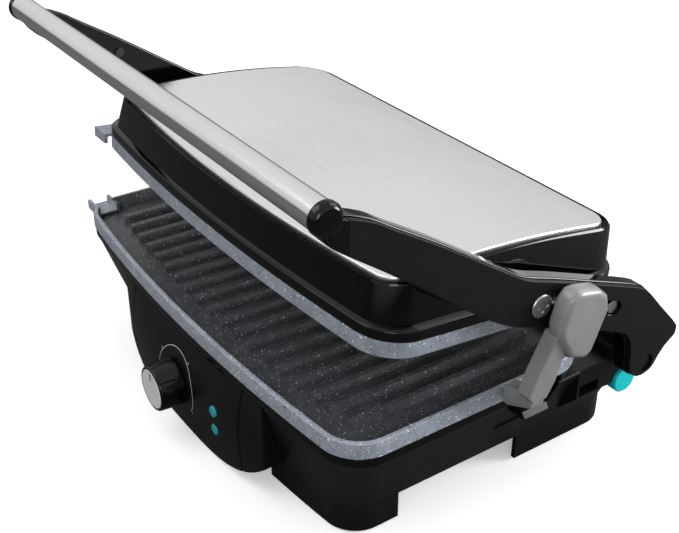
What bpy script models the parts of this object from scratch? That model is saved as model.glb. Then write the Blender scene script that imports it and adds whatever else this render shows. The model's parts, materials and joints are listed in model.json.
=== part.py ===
"""Contact grill with a floating lid: base, hinged yoke, lid, side latch and control knob.

Metres, +Z up. X runs along the handle, +X to the side that has the latch, and -Y is the front.
The grill's own frame has X = 0 on the plates' middle and Z = 0 on the table. Every piece is shifted at the end,
so that the origin lies under the middle of the whole grill.
"""
import math

import bmesh
import bpy
from mathutils import Matrix, Vector

# Fits
GAP = 0.0003             # between pieces that are fixed to each other
RUN = 0.0005             # radial play of a turning piece
OVERRUN = 0.003          # how far a cutter passes a face
WALL = 0.0025            # moulded wall
EDGE_ROUND = 0.0008      # small rounding of moulded edges

# Cooking plates: both have this outline
PLATE_HALF_X = 0.150
PLATE_FRONT_Y = -0.0989
PLATE_BACK_Y = 0.0576
FRONT_BOW = 0.0095
FRONT_CORNER = 0.0197
BACK_CORNER = 0.028
PLATE_RIM_Z = 0.0761
PLATE_BAND = 0.0086
PLATE_RIM_WIDTH = 0.0026
PLATE_WALL_LEAN = 0.0016
PLATE_FLOOR_DEPTH = 0.0075
PLATE_BODY_INSET = 0.006
PLATE_BODY_LEAN = 0.001
PLATE_BODY_DEPTH = 0.0023
RIB_COUNT = 19
RIB_HEIGHT = 0.0042
RIB_TOP_WIDTH = 0.0032
RIB_FOOT_WIDTH = 0.0056
RIB_MARGIN = 0.017
SPOUT_REACH = 0.006
SPOUT_WIDTH = 0.015
SPOUT_WALL = 0.002
SPOUT_FLOOR = 0.0036
SPOUT_RISE = 0.0018
LOWER_SPOUT_SETBACK = 0.0114
UPPER_SPOUT_SETBACK = 0.004

# Base housing
RIM_HEIGHT = 0.0052
RIM_WIDTH = 0.005
RIM_INSET = 0.0005
BASE_TOP_INSET = 0.001
BASE_DRAFT_Z = 0.0169
BASE_BOTTOM_Z = 0.0012
BASE_DRAFT = 0.020
BASE_FOOT_FRONT_Y = -0.0852
BASE_FOOT_FRONT_CORNER = 0.016
BASE_BACK_Y = 0.100
BASE_BACK_CORNER = 0.020
OPENING_INSET = 0.0055
SIDE_ARCH_FRONT_Y = -0.055
SIDE_ARCH_BACK_Y = 0.025
FRONT_LEG_WIDTH = 0.064
FRONT_ARCH_TOP_Z = 0.014
BACK_LEG_WIDTH = 0.035
BACK_ARCH_TOP_Z = 0.012

# Bottom cover and feet
COVER_THICKNESS = 0.0025
COVER_PLAY = 0.0005
FOOT_SETBACK_X = 0.018
FRONT_FOOT_SETBACK = 0.0152
BACK_FOOT_SETBACK = 0.022
FOOT_RADIUS = 0.009
FOOT_HEIGHT = 0.0035
FOOT_BOSS_RADIUS = 0.006
FOOT_STUD_RADIUS = 0.0025
FOOT_STUD_HEIGHT = 0.003

# Heating elements, trays and what belongs to them
HEATER_RADIUS = 0.003
HEATER_INSET = 0.030
TRAY_THICKNESS = 0.0008
TRAY_INSET = 0.016
TRAY_LEAN = 0.003
FUSE_RADIUS = 0.0016
FUSE_LENGTH = 0.022
FUSE_X = 0.020

# Control panel
PANEL_HALF_X = 0.080
PANEL_TOP_DROP = 0.0006
PANEL_BULGE = 0.0065
PANEL_BULGE_Z = 0.034
PANEL_FOOT_BULGE = 0.0035
PANEL_LOW_Z = 0.0015
PANEL_END_LOW_Z = 0.020
PANEL_BACK_Y = -0.0905
PANEL_WINDOW_HALF_X = 0.058
PANEL_WINDOW_LOW_Z = 0.018
PANEL_WINDOW_HIGH_Z = 0.052

# Knob, shaft and thermostat
KNOB_X = 0.0
KNOB_Z = 0.033
KNOB_RADIUS = 0.014
KNOB_FACE_RADIUS = 0.0132
KNOB_DEPTH = 0.0145
KNOB_STANDOFF = 0.0006
KNOB_CAP_RADIUS = 0.0115
KNOB_CAP_THICKNESS = 0.0012
KNOB_POCKET_RADIUS = 0.0102
KNOB_WEB = 0.003
KNOB_HUB_RADIUS = 0.006
SHAFT_RADIUS = 0.003
SHAFT_SOCKET_DEPTH = 0.007
THERMOSTAT_WIDTH = 0.032
THERMOSTAT_HEIGHT = 0.024
THERMOSTAT_DEPTH = 0.018
THERMOSTAT_NECK_RADIUS = 0.0055
THERMOSTAT_BORE_DEPTH = 0.008

# Indicator lenses and the carrier of their lamps
LENS_X = 0.0415
POWER_LENS_Z = 0.037
READY_LENS_Z = 0.025
LENS_RADIUS = 0.0033
LENS_DEPTH = 0.003
LENS_PROUD = 0.0004
LAMP_RADIUS = 0.002
CARRIER_WIDTH = 0.014
CARRIER_HEIGHT = 0.026
CARRIER_THICKNESS = 0.0016
LAMP_LENGTH = 0.006

# Cord gland and terminal block
GLAND_X = -0.060
GLAND_Z = 0.032
GLAND_RADIUS = 0.008
GLAND_FLANGE = 0.0022
GLAND_BORE = 0.0036
GLAND_DEPTH = 0.010
GLAND_FACE_INSET = 0.0004
TERMINAL_WIDTH = 0.030
TERMINAL_DEPTH = 0.016
TERMINAL_HEIGHT = 0.012
TERMINAL_SETBACK = 0.024

# Hinge
HINGE_SETBACK = 0.0175
HINGE_DROP = 0.0002
BRACKET_SETBACK = 0.002
BRACKET_WIDTH = 0.026
BRACKET_FOOT_WIDTH = 0.014
BRACKET_FRONT_REACH = 0.0342
BRACKET_BACK_SETBACK = 0.0005
BRACKET_DEPTH = 0.0317
BRACKET_FULL_DEPTH = 0.0187
BRACKET_BOSS_RADIUS = 0.0125
BRACKET_SLOT_WIDTH = 0.014
BRACKET_SLOT_HEIGHT = 0.007
BRACKET_SLOT_DEPTH = 0.006
BRACKET_SLOT_REACH = 0.0255
BRACKET_SLOT_DROP = 0.0145
HUB_RADIUS = 0.0065
HUB_BORE = 0.0035
HUB_LENGTH = 0.016
HUB_FLANGE_RADIUS = 0.009
HUB_FLANGE = 0.0018
HINGE_PIN_RADIUS = 0.0031
HINGE_HEAD_RADIUS = 0.005
HINGE_HEAD = 0.0016
BUTTON_SETBACK = 0.001
BUTTON_DROP = 0.019
BUTTON_RADIUS = 0.0078
BUTTON_PROUD = 0.002
BUTTON_LENGTH = 0.008
BUTTON_TRAVEL = 0.004
SPRING_RADIUS = 0.0045
SPRING_WIRE = 0.0005
SPRING_TURNS = 4
SPRING_LENGTH = 0.0034

# Yoke: arms and handle
HANDLE_Y = -0.118
HANDLE_Z = 0.206
HANDLE_END_SETBACK = 0.0008
HANDLE_RADIUS = 0.007
HANDLE_SHEET = 0.0008
HANDLE_WRAP = math.radians(250)
HANDLE_OPEN_TOWARDS = math.radians(-60)
CORE_SPIGOT_RADIUS = 0.0035
CORE_SPIGOT_LENGTH = 0.0024
ARM_PLAY = 0.0008
ARM_FRAME_THICKNESS = 0.008
ARM_COVER_THICKNESS = 0.0029
ARM_FRAME_LIP = 0.0008
ELBOW_WALL = 0.0006
ELBOW_DEPTH = 0.0043
ELBOW_ROUND = 0.003
ARM_SCREW_RADIUS = 0.0015
ARM_SCREW_HEAD_RADIUS = 0.003
ARM_SCREW_HEAD = 0.0008
ARM_SLOT_LENGTH = 0.017
ARM_SLOT_WIDTH = 0.008
ARM_SLOT_ANGLE = math.radians(-21.7)
ARM_SLOT_RIVET_SETBACK = 0.0045
RIVET_RADIUS = 0.0028
RIVET_HEAD_RADIUS = 0.0036
RIVET_HEAD = 0.0012
# Places in the arm's side view, as shares of the way from the hinge to the handle: forward, then up
PIVOT_SHARES = (0.416, 0.453)
LATCH_PIN_SHARES = (0.374, 0.452)
ARM_SCREW_SHARES = (0.733, 0.755)
ARM_SLOT_SHARES = (0.172, 0.322)
ARM_OUTLINE_SHARES = (
    (1.002, 0.947), (0.995, 0.973), (0.982, 0.991), (0.959, 0.989), (0.894, 0.952), (0.832, 0.898),
    (0.728, 0.809), (0.615, 0.705), (0.524, 0.621), (0.460, 0.566), (0.362, 0.515), (0.223, 0.439),
    (0.073, 0.356), (0.030, 0.315), (-0.018, 0.242), (-0.104, 0.111), (-0.100, 0.073), (-0.072, 0.044),
    (-0.049, 0.008), (-0.028, -0.035), (0.008, -0.051), (0.040, -0.037), (0.060, 0.001), (0.067, 0.084),
    (0.078, 0.138), (0.106, 0.182), (0.192, 0.239), (0.401, 0.361), (0.508, 0.420), (0.603, 0.509),
    (0.721, 0.635), (0.802, 0.721), (0.867, 0.788), (0.952, 0.873), (0.987, 0.913))
ELBOW_SHARE = 0.905      # the cover starts behind this share of the reach

# Lid, measured in the plate's outline and upwards from the upper plate's rim
LID_TILT = math.radians(5.75)
PIVOT_PLATE_Y = -0.0197
PIVOT_HEIGHT = 0.0177
FLANGE_HEIGHT = 0.0051
LID_WALL_INSET = 0.005
LID_WALL_FRONT_INSET = 0.0025
LID_WALL_BACK_INSET = 0.001
LID_TOP_INSET = 0.0085
LID_TOP_FRONT_INSET = 0.006
LID_TOP_BACK_INSET = 0.0016
LID_RIM_INSET = 0.0100
LID_RIM_BACK_INSET = 0.0028
LID_CROWN_HEIGHT = 0.0395
LID_CROWN_Y = -0.013
LID_CROWN_RADIUS = 0.5556
LID_RIM_DROP = 0.0008
LID_SIDE_DROP = 0.0022
PANEL_RECESS = 0.0036
PANEL_PLAY = 0.0007
LID_ROOF_HEIGHT = 0.0270
PIVOT_BOSS_RADIUS = 0.0085
PIVOT_BOSS_LENGTH = 0.008
BUSH_RADIUS = 0.006
BUSH_BORE = 0.0035
BUSH_FLANGE_RADIUS = 0.0074
BUSH_LENGTH = 0.0087
BUSH_SETBACK = 0.0038
PIVOT_SCREW_RADIUS = 0.003
PIVOT_HEAD_RADIUS = 0.006
PIVOT_HEAD = 0.0013
CROSS_WIDTH = 0.0016
CROSS_LENGTH = 0.0066
CROSS_DEPTH = 0.0007

# Latch and its catch
LATCH_STANDOFF = 0.0022
LATCH_THICKNESS = 0.0108
LEG_STANDOFF = 0.0012
LEG_THICKNESS = 0.0088
LATCH_PIN_RADIUS = 0.0024
LATCH_PIN_COVER = 0.0015
HOOK_TIP_PLAY = 0.002
HOOK_LIP = 0.004
PADDLE_WIDTH = 0.034
PADDLE_HEIGHT = 0.042
# Paddle and leg in side view, from the latch's pin, as shares of the paddle's width and height
PADDLE_SHARES = (
    (0.06, 0.24), (0.24, 0.21), (0.50, 0.16), (0.68, 0.03), (0.74, -0.16), (0.50, -0.66), (0.38, -0.75),
    (0.06, -0.64), (-0.16, -0.34), (-0.19, -0.18), (-0.08, 0.12))
LEG_SHARES = (
    (0.10, -0.30), (0.02, -0.60), (-0.10, -0.92), (-0.24, -1.12), (-0.50, -1.12), (-0.58, -1.02),
    (-0.44, -0.74), (-0.16, -0.30))
FOOT_SHARES = (-0.52, -0.26)
FOOT_HEIGHT_SHARES = (-1.36, -1.19, -1.04, -1.12)
CATCH_FRONT_Y = 0.0035
CATCH_BACK_Y = 0.020
CATCH_OVERLAP = 0.0035
CATCH_LOW_DROP = 0.0087
CATCH_HIGH_DROP = 0.0042
CATCH_PLATE_SETBACK = 0.0013
CATCH_WINDOW_FRONT_Y = -0.003
CATCH_WINDOW_BACK_Y = 0.033
CATCH_WINDOW_DEPTH = 0.0217

# Counts
ARC_STEPS = 4
FRONT_STEPS = 3
SIDE_STEPS = 4
ROUND_SIDES = 20
SMALL_SIDES = 12
WIRE_SIDES = 5

# Derived places
PLATE_BAND_Z = PLATE_RIM_Z - PLATE_BAND
RIM_TOP_Z = PLATE_BAND_Z - GAP
RIM_LOW_Z = RIM_TOP_Z - RIM_HEIGHT
BASE_TOP_Z = RIM_LOW_Z - GAP
PLATE_BODY_HEIGHT = PLATE_BAND + PLATE_BODY_DEPTH
COVER_LOW_Z = BASE_DRAFT_Z + GAP
COVER_TOP_Z = COVER_LOW_Z + COVER_THICKNESS
PANEL_TOP_Z = BASE_TOP_Z - PANEL_TOP_DROP

def base_half_x(height):
    """Half width of the base's outer wall at a height."""
    rise = max(0, (height - BASE_DRAFT_Z) / (BASE_TOP_Z - BASE_DRAFT_Z))
    return PLATE_HALF_X - BASE_DRAFT + (BASE_DRAFT - BASE_TOP_INSET) * rise


BASE_FOOT_HALF_X = PLATE_HALF_X - BASE_DRAFT
FRONT_ARCH_HALF_X = BASE_FOOT_HALF_X - FRONT_LEG_WIDTH
BACK_ARCH_HALF_X = BASE_FOOT_HALF_X - BACK_LEG_WIDTH
FOOT_X = BASE_FOOT_HALF_X - FOOT_SETBACK_X
FRONT_FOOT_Y = BASE_FOOT_FRONT_Y + FRONT_FOOT_SETBACK
BACK_FOOT_Y = BASE_BACK_Y - BACK_FOOT_SETBACK
TERMINAL_Y = BASE_BACK_Y - TERMINAL_SETBACK
HINGE_Y = BASE_BACK_Y - HINGE_SETBACK
HINGE_Z = BASE_TOP_Z - HINGE_DROP
BRACKET_OUTER_X = PLATE_HALF_X - BRACKET_SETBACK
BRACKET_INNER_X = BRACKET_OUTER_X - BRACKET_WIDTH
BRACKET_LOW_X = BRACKET_INNER_X + BRACKET_FOOT_WIDTH
BRACKET_FRONT_Y = HINGE_Y - BRACKET_FRONT_REACH
BRACKET_BACK_Y = BASE_BACK_Y - BRACKET_BACK_SETBACK
BRACKET_LOW_Z = BASE_TOP_Z - BRACKET_DEPTH
BRACKET_FULL_Z = BASE_TOP_Z - BRACKET_FULL_DEPTH
BRACKET_SLOT_Y = HINGE_Y - BRACKET_SLOT_REACH
BRACKET_SLOT_Z = HINGE_Z - BRACKET_SLOT_DROP
BUTTON_Y = HINGE_Y + BUTTON_SETBACK
BUTTON_Z = HINGE_Z - BUTTON_DROP
BUTTON_FACE_X = BRACKET_OUTER_X + BUTTON_PROUD
ARM_INNER_X = PLATE_HALF_X + ARM_PLAY
ARM_REACH = HINGE_Y - HANDLE_Y
ARM_RISE = HANDLE_Z - HINGE_Z
ARM_FRAME_X = ARM_INNER_X + ARM_FRAME_THICKNESS
ARM_COVER_INNER_X = ARM_FRAME_X + GAP
ARM_OUTER_X = ARM_COVER_INNER_X + ARM_COVER_THICKNESS
HANDLE_HALF_X = ARM_FRAME_X - HANDLE_END_SETBACK
ELBOW_INNER_X = HANDLE_HALF_X + GAP
ELBOW_OUTER_X = ELBOW_INNER_X + ELBOW_DEPTH
BUSH_FLANGE_X = PLATE_HALF_X - BUSH_SETBACK
BUSH_INNER_X = BUSH_FLANGE_X - BUSH_LENGTH
LATCH_INNER_X = ARM_OUTER_X + LATCH_STANDOFF
LATCH_OUTER_X = LATCH_INNER_X + LATCH_THICKNESS
LEG_INNER_X = ARM_OUTER_X + LEG_STANDOFF
LEG_OUTER_X = LEG_INNER_X + LEG_THICKNESS
LATCH_PIN_END_X = LATCH_OUTER_X - LATCH_PIN_COVER
FOOT_TIP_X = PLATE_HALF_X + HOOK_TIP_PLAY
FOOT_LIP_X = FOOT_TIP_X + HOOK_LIP
CATCH_REACH_X = FOOT_TIP_X + CATCH_OVERLAP
CATCH_LOW_Z = BASE_TOP_Z - CATCH_LOW_DROP
CATCH_HIGH_Z = BASE_TOP_Z - CATCH_HIGH_DROP
CATCH_WINDOW_LOW_Z = BASE_TOP_Z - CATCH_WINDOW_DEPTH
CATCH_WINDOW_HIGH_Z = BASE_TOP_Z - WALL
CATCH_PLATE_X = base_half_x(CATCH_WINDOW_LOW_Z) - CATCH_PLATE_SETBACK
CENTRE_X = (LATCH_OUTER_X - ELBOW_OUTER_X) / 2
FRONT_REACH_Y = HANDLE_Y - HANDLE_RADIUS


def arm_place(shares):
    """Side-view place (y, z) from its shares of the arm's reach and rise."""
    forward, up = shares
    return HINGE_Y - forward * ARM_REACH, HINGE_Z + up * ARM_RISE


PIVOT_Y, PIVOT_Z = arm_place(PIVOT_SHARES)
LATCH_Y, LATCH_Z = arm_place(LATCH_PIN_SHARES)


# Points and outlines

def outline(inset=0, half_x=PLATE_HALF_X, front_y=PLATE_FRONT_Y, back_y=PLATE_BACK_Y,
            front_corner=FRONT_CORNER, back_corner=BACK_CORNER):
    """Rounded outline with a bowed front, from the front's middle round by +X; mirrored in X."""
    half = half_x - inset
    front = front_y + inset
    back = back_y - inset
    front_radius = max(front_corner - inset, EDGE_ROUND)
    back_radius = max(back_corner - inset, EDGE_ROUND)
    right = []
    for step in range(FRONT_STEPS):
        right.append(((half - front_radius) * step / FRONT_STEPS, front))
    for step in range(ARC_STEPS + 1):
        turn = math.pi / 2 * step / ARC_STEPS
        right.append((half - front_radius + front_radius * math.sin(turn),
                      front + front_radius - front_radius * math.cos(turn)))
    right = [(x, y - FRONT_BOW * (1 - (x / half) ** 2)) for x, y in right]
    side_start = front + front_radius
    side_length = back - back_radius - side_start
    for step in range(1, SIDE_STEPS):
        right.append((half, side_start + side_length * step / SIDE_STEPS))
    for step in range(ARC_STEPS + 1):
        turn = math.pi / 2 * step / ARC_STEPS
        right.append((half - back_radius + back_radius * math.cos(turn),
                      back - back_radius + back_radius * math.sin(turn)))
    return right + [(-x, y) for x, y in reversed(right[1:])]


def at_height(points, height):
    """Ring of 3-D points; the height may be a length or a function of y."""
    if callable(height):
        return [Vector((x, y, height(y))) for x, y in points]
    return [Vector((x, y, height)) for x, y in points]


def circle(radius, sides, centre=(0, 0), start=0.0):
    """Points of a circle in a plane."""
    turns = [start + 2 * math.pi * side / sides for side in range(sides)]
    return [(centre[0] + radius * math.cos(turn), centre[1] + radius * math.sin(turn)) for turn in turns]


def inset_polygon(points, distance):
    """Polygon moved inwards, for points that run anticlockwise; a negative distance grows it."""
    moved = []
    for index, point in enumerate(points):
        here = Vector(point)
        before = (here - Vector(points[index - 1])).normalized()
        after = (Vector(points[(index + 1) % len(points)]) - here).normalized()
        normal_before = Vector((-before.y, before.x))
        normal_after = Vector((-after.y, after.x))
        shift = (normal_before + normal_after) / (1 + normal_before.dot(normal_after))
        moved.append(tuple(here + shift * distance))
    return moved


def anticlockwise(points):
    """The same polygon, running anticlockwise."""
    area = 0
    for index, (x, y) in enumerate(points):
        before_x, before_y = points[index - 1]
        area += before_x * y - x * before_y
    return list(points) if area > 0 else list(reversed(points))


# Solids

def solid(name, vertices, faces):
    """Object from points and faces, with its faces pointing out."""
    mesh = bpy.data.meshes.new(name)
    mesh.from_pydata([tuple(vertex) for vertex in vertices], [], faces)
    made = bmesh.new()
    made.from_mesh(mesh)
    bmesh.ops.recalc_face_normals(made, faces=made.faces)
    made.to_mesh(mesh)
    made.free()
    piece = bpy.data.objects.new(name, mesh)
    bpy.context.collection.objects.link(piece)
    return piece


def loft(name, rings, wrapped=False):
    """Skin through outline rings. Its ends are closed by strips across X, or it wraps into a ring."""
    count = len(rings[0])
    vertices = [point for ring in rings for point in ring]
    faces = []
    spans = len(rings) if wrapped else len(rings) - 1
    for span in range(spans):
        low = span * count
        high = (span + 1) % len(rings) * count
        for index in range(count):
            after = (index + 1) % count
            faces.append((low + index, low + after, high + after, high + index))
    if not wrapped:
        half = count // 2
        for start in (0, (len(rings) - 1) * count):
            faces.append((start, start + 1, start + count - 1))
            for index in range(1, half):
                faces.append((start + index, start + index + 1, start + count - index - 1, start + count - index))
    return solid(name, vertices, faces)


def stack(name, rings):
    """Skin through plain rings of points, with one flat face at each end."""
    count = len(rings[0])
    vertices = [point for ring in rings for point in ring]
    faces = []
    for span in range(len(rings) - 1):
        for index in range(count):
            after = (index + 1) % count
            low = span * count
            faces.append((low + index, low + after, low + count + after, low + count + index))
    faces.append(tuple(range(count)))
    faces.append(tuple(range((len(rings) - 1) * count, len(rings) * count)))
    return solid(name, vertices, faces)


def place(axis, point, along):
    """3-D point from a flat point, which holds the other two coordinates in order, and a distance along an axis."""
    first, second = point
    if axis == "X":
        return Vector((along, first, second))
    if axis == "Y":
        return Vector((first, along, second))
    return Vector((first, second, along))


def prism(name, points, axis, low, high):
    """Flat outline pushed along X, Y or Z; the outline holds the other two coordinates in order."""
    return stack(name, [[place(axis, point, low) for point in points], [place(axis, point, high) for point in points]])


def box(name, low, high):
    """Box between two corners."""
    points = ((low[0], low[1]), (high[0], low[1]), (high[0], high[1]), (low[0], high[1]))
    return prism(name, points, "Z", low[2], high[2])


def turned(name, axis, centre, profile, sides=ROUND_SIDES):
    """Round solid from (radius, distance along the axis) pairs; centre holds the other two coordinates."""
    return stack(name, [[place(axis, point, along) for point in circle(radius, sides, centre)]
                        for radius, along in profile])


def ring_tube(name, axis, centre, profile, sides=ROUND_SIDES):
    """Round tube from a closed (radius, distance) profile, with its bore open."""
    rings = [[place(axis, point, along) for point in circle(radius, sides, centre)] for radius, along in profile]
    return loft(name, rings, wrapped=True)


def cylinder(name, axis, centre, radius, low, high, sides=ROUND_SIDES):
    """Plain round bar."""
    return turned(name, axis, centre, ((radius, low), (radius, high)), sides)


def settle(piece):
    """Replace the mesh by the one that the piece's modifiers give."""
    graph = bpy.context.evaluated_depsgraph_get()
    graph.update()
    mesh = bpy.data.meshes.new_from_object(piece.evaluated_get(graph))
    piece.modifiers.clear()
    old = piece.data
    piece.data = mesh
    bpy.data.meshes.remove(old)


def combine(piece, others, operation):
    """Cut or join other solids into a piece; the others are used up."""
    for other in others:
        change = piece.modifiers.new(operation, "BOOLEAN")
        change.operation = operation
        change.solver = "EXACT"
        change.object = other
        settle(piece)
        bpy.data.objects.remove(other)
    return piece


def cut(piece, *cutters):
    return combine(piece, cutters, "DIFFERENCE")


def join(piece, *others):
    return combine(piece, others, "UNION")


def bevelled(piece, width, segments=1, angle=math.radians(40)):
    """Round the piece's sharp edges."""
    rounding = piece.modifiers.new("rounding", "BEVEL")
    rounding.width = width
    rounding.segments = segments
    rounding.limit_method = "ANGLE"
    rounding.angle_limit = angle
    settle(piece)
    return piece


def mirrored(piece, name, keep=True):
    """The same piece on the other side of X = 0."""
    mesh = piece.data.copy()
    mesh.transform(Matrix.Scale(-1, 4, Vector((1, 0, 0))))
    mesh.flip_normals()
    twin = bpy.data.objects.new(name, mesh)
    bpy.context.collection.objects.link(twin)
    if not keep:
        bpy.data.objects.remove(piece)
    return twin


def material(name, colour, roughness, metallic=0.0):
    """Principled material."""
    made = bpy.data.materials.new(name)
    made.use_nodes = True
    shader = made.node_tree.nodes["Principled BSDF"]
    shader.inputs["Base Color"].default_value = (*colour, 1)
    shader.inputs["Roughness"].default_value = roughness
    shader.inputs["Metallic"].default_value = metallic
    return made


def finish(piece, finish_material, pivot=(0, 0, 0)):
    """Give a piece its material, smooth shading, and its origin at its pivot."""
    offset = Vector(pivot)
    piece.data.transform(Matrix.Translation(-offset))
    piece.location = offset
    piece.data.materials.clear()
    piece.data.materials.append(finish_material)
    piece.data.shade_smooth()
    piece.data.set_sharp_from_angle(angle=math.radians(35))
    return piece


# Lid placing

def lid_point(point):
    """Place of a point given in the plate's outline and by its height over the upper plate's rim."""
    along = point.y - PIVOT_PLATE_Y
    up = point.z - PIVOT_HEIGHT
    cosine = math.cos(LID_TILT)
    sine = math.sin(LID_TILT)
    return Vector((point.x, PIVOT_Y + cosine * along + sine * up, PIVOT_Z - sine * along + cosine * up))


def place_on_lid(piece):
    """Move a piece made in the lid's own frame to its tilted place."""
    for vertex in piece.data.vertices:
        vertex.co = lid_point(vertex.co)
    return piece


# Base

def base_ring(inset, height):
    """Outline of the base's outer wall at a height between the feet and the deck."""
    rise = max(0, (height - BASE_DRAFT_Z) / (BASE_TOP_Z - BASE_DRAFT_Z))
    half_x = base_half_x(height)
    front_y = BASE_FOOT_FRONT_Y + (PLATE_FRONT_Y + BASE_TOP_INSET - BASE_FOOT_FRONT_Y) * rise
    front_corner = BASE_FOOT_FRONT_CORNER + (FRONT_CORNER - BASE_FOOT_FRONT_CORNER) * rise
    points = outline(inset, half_x, front_y, BASE_BACK_Y, front_corner, BASE_BACK_CORNER)
    return at_height(points, height)


def bracket_outline(margin=0):
    """Hinge bracket seen from the front, as (x, z)."""
    return inset_polygon(((BRACKET_INNER_X, BRACKET_LOW_Z), (BRACKET_LOW_X, BRACKET_LOW_Z),
                          (BRACKET_OUTER_X, BRACKET_FULL_Z), (BRACKET_OUTER_X, BASE_TOP_Z - GAP),
                          (BRACKET_INNER_X, BASE_TOP_Z - GAP)), -margin)


def bracket_notch(name):
    """Space that a hinge bracket takes in the base."""
    points = ((BRACKET_INNER_X - GAP, BRACKET_LOW_Z - GAP), (PLATE_HALF_X + OVERRUN, BRACKET_LOW_Z - GAP),
              (PLATE_HALF_X + OVERRUN, HINGE_Z + BRACKET_BOSS_RADIUS),
              (BRACKET_INNER_X - GAP, HINGE_Z + BRACKET_BOSS_RADIUS))
    return prism(name, points, "Y", BRACKET_FRONT_Y - GAP, BASE_BACK_Y + OVERRUN)


def make_base_housing():
    """Drafted shell on four legs, open below and under the lower plate."""
    piece = loft("base_housing", (
        base_ring(0, BASE_BOTTOM_Z), base_ring(0, BASE_DRAFT_Z), base_ring(0, BASE_TOP_Z - EDGE_ROUND),
        base_ring(EDGE_ROUND, BASE_TOP_Z), at_height(outline(OPENING_INSET), BASE_TOP_Z),
        at_height(outline(OPENING_INSET), BASE_TOP_Z - WALL), base_ring(WALL, BASE_TOP_Z - WALL),
        base_ring(WALL, BASE_DRAFT_Z), base_ring(WALL, BASE_BOTTOM_Z)), wrapped=True)
    front = PLATE_FRONT_Y - FRONT_BOW - OVERRUN
    below = BASE_BOTTOM_Z - OVERRUN
    cut(piece,
        box("arch", (-PLATE_HALF_X, SIDE_ARCH_FRONT_Y, below), (PLATE_HALF_X, SIDE_ARCH_BACK_Y, BASE_DRAFT_Z)),
        box("arch", (-FRONT_ARCH_HALF_X, front, below), (FRONT_ARCH_HALF_X, 0, FRONT_ARCH_TOP_Z)),
        box("arch", (-BACK_ARCH_HALF_X, 0, below), (BACK_ARCH_HALF_X, BASE_BACK_Y + OVERRUN, BACK_ARCH_TOP_Z)),
        box("window", (-PANEL_WINDOW_HALF_X, front, PANEL_WINDOW_LOW_Z), (PANEL_WINDOW_HALF_X, 0, PANEL_WINDOW_HIGH_Z)),
        box("window", (BASE_FOOT_HALF_X, CATCH_WINDOW_FRONT_Y, CATCH_WINDOW_LOW_Z),
            (PLATE_HALF_X + OVERRUN, CATCH_WINDOW_BACK_Y, BASE_TOP_Z + OVERRUN)),
        bracket_notch("notch"), mirrored(bracket_notch("notch"), "notch", keep=False),
        cylinder("hole", "Y", (GLAND_X, GLAND_Z), GLAND_RADIUS + GAP, BASE_BACK_Y - 2 * WALL, BASE_BACK_Y + OVERRUN))
    return piece


def make_bottom_cover():
    """Flat cover with a boss above each foot."""
    inset = WALL + COVER_PLAY
    piece = loft("base_bottom_cover", (base_ring(inset, COVER_LOW_Z), base_ring(inset, COVER_TOP_Z)))
    for x, y in foot_places():
        join(piece, cylinder("boss", "Z", (x, y), FOOT_BOSS_RADIUS, FOOT_HEIGHT + GAP, COVER_LOW_Z + WALL / 2,
                             SMALL_SIDES))
        cut(piece, cylinder("hole", "Z", (x, y), FOOT_STUD_RADIUS + GAP, 0, FOOT_HEIGHT + FOOT_STUD_HEIGHT + 2 * GAP,
                            SMALL_SIDES))
    return piece


def foot_places():
    """The four feet, as (x, y)."""
    return ((-FOOT_X, FRONT_FOOT_Y), (FOOT_X, FRONT_FOOT_Y), (-FOOT_X, BACK_FOOT_Y), (FOOT_X, BACK_FOOT_Y))


def make_foot_pad(name, centre):
    """Rubber pad with a stud that presses into the cover's boss."""
    return turned(name, "Z", centre, (
        (FOOT_RADIUS - EDGE_ROUND, 0), (FOOT_RADIUS, EDGE_ROUND), (FOOT_RADIUS, FOOT_HEIGHT),
        (FOOT_STUD_RADIUS, FOOT_HEIGHT), (FOOT_STUD_RADIUS, FOOT_HEIGHT + FOOT_STUD_HEIGHT)), SMALL_SIDES)


def make_base_rim():
    """Glossy band between the housing and the lower plate, cut away over the latch's catch."""
    outer = outline(RIM_INSET)
    rounded = outline(RIM_INSET + EDGE_ROUND)
    inner = outline(RIM_INSET + RIM_WIDTH)
    piece = loft("base_rim", (
        at_height(outer, RIM_LOW_Z), at_height(outer, RIM_TOP_Z - EDGE_ROUND), at_height(rounded, RIM_TOP_Z),
        at_height(inner, RIM_TOP_Z), at_height(inner, RIM_LOW_Z)), wrapped=True)
    return cut(piece, box("notch", (PLATE_HALF_X - RIM_WIDTH / 2, CATCH_WINDOW_FRONT_Y, RIM_LOW_Z - OVERRUN),
                          (PLATE_HALF_X + OVERRUN, CATCH_WINDOW_BACK_Y, RIM_TOP_Z + OVERRUN)))


def rib_comb(name, low_z, floor_z):
    """Row of ribs that run front to back, on one slab."""
    half = PLATE_HALF_X - RIB_MARGIN
    pitch = 2 * half / RIB_COUNT
    points = [(half, low_z), (half, floor_z)]
    for rib in range(RIB_COUNT):
        middle = half - pitch * (rib + 1 / 2)
        points += [(middle + RIB_FOOT_WIDTH / 2, floor_z), (middle + RIB_TOP_WIDTH / 2, floor_z + RIB_HEIGHT),
                   (middle - RIB_TOP_WIDTH / 2, floor_z + RIB_HEIGHT), (middle - RIB_FOOT_WIDTH / 2, floor_z)]
    points += [(-half, floor_z), (-half, low_z)]
    return prism(name, points, "Y", PLATE_FRONT_Y - FRONT_BOW, PLATE_BACK_Y)


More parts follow.
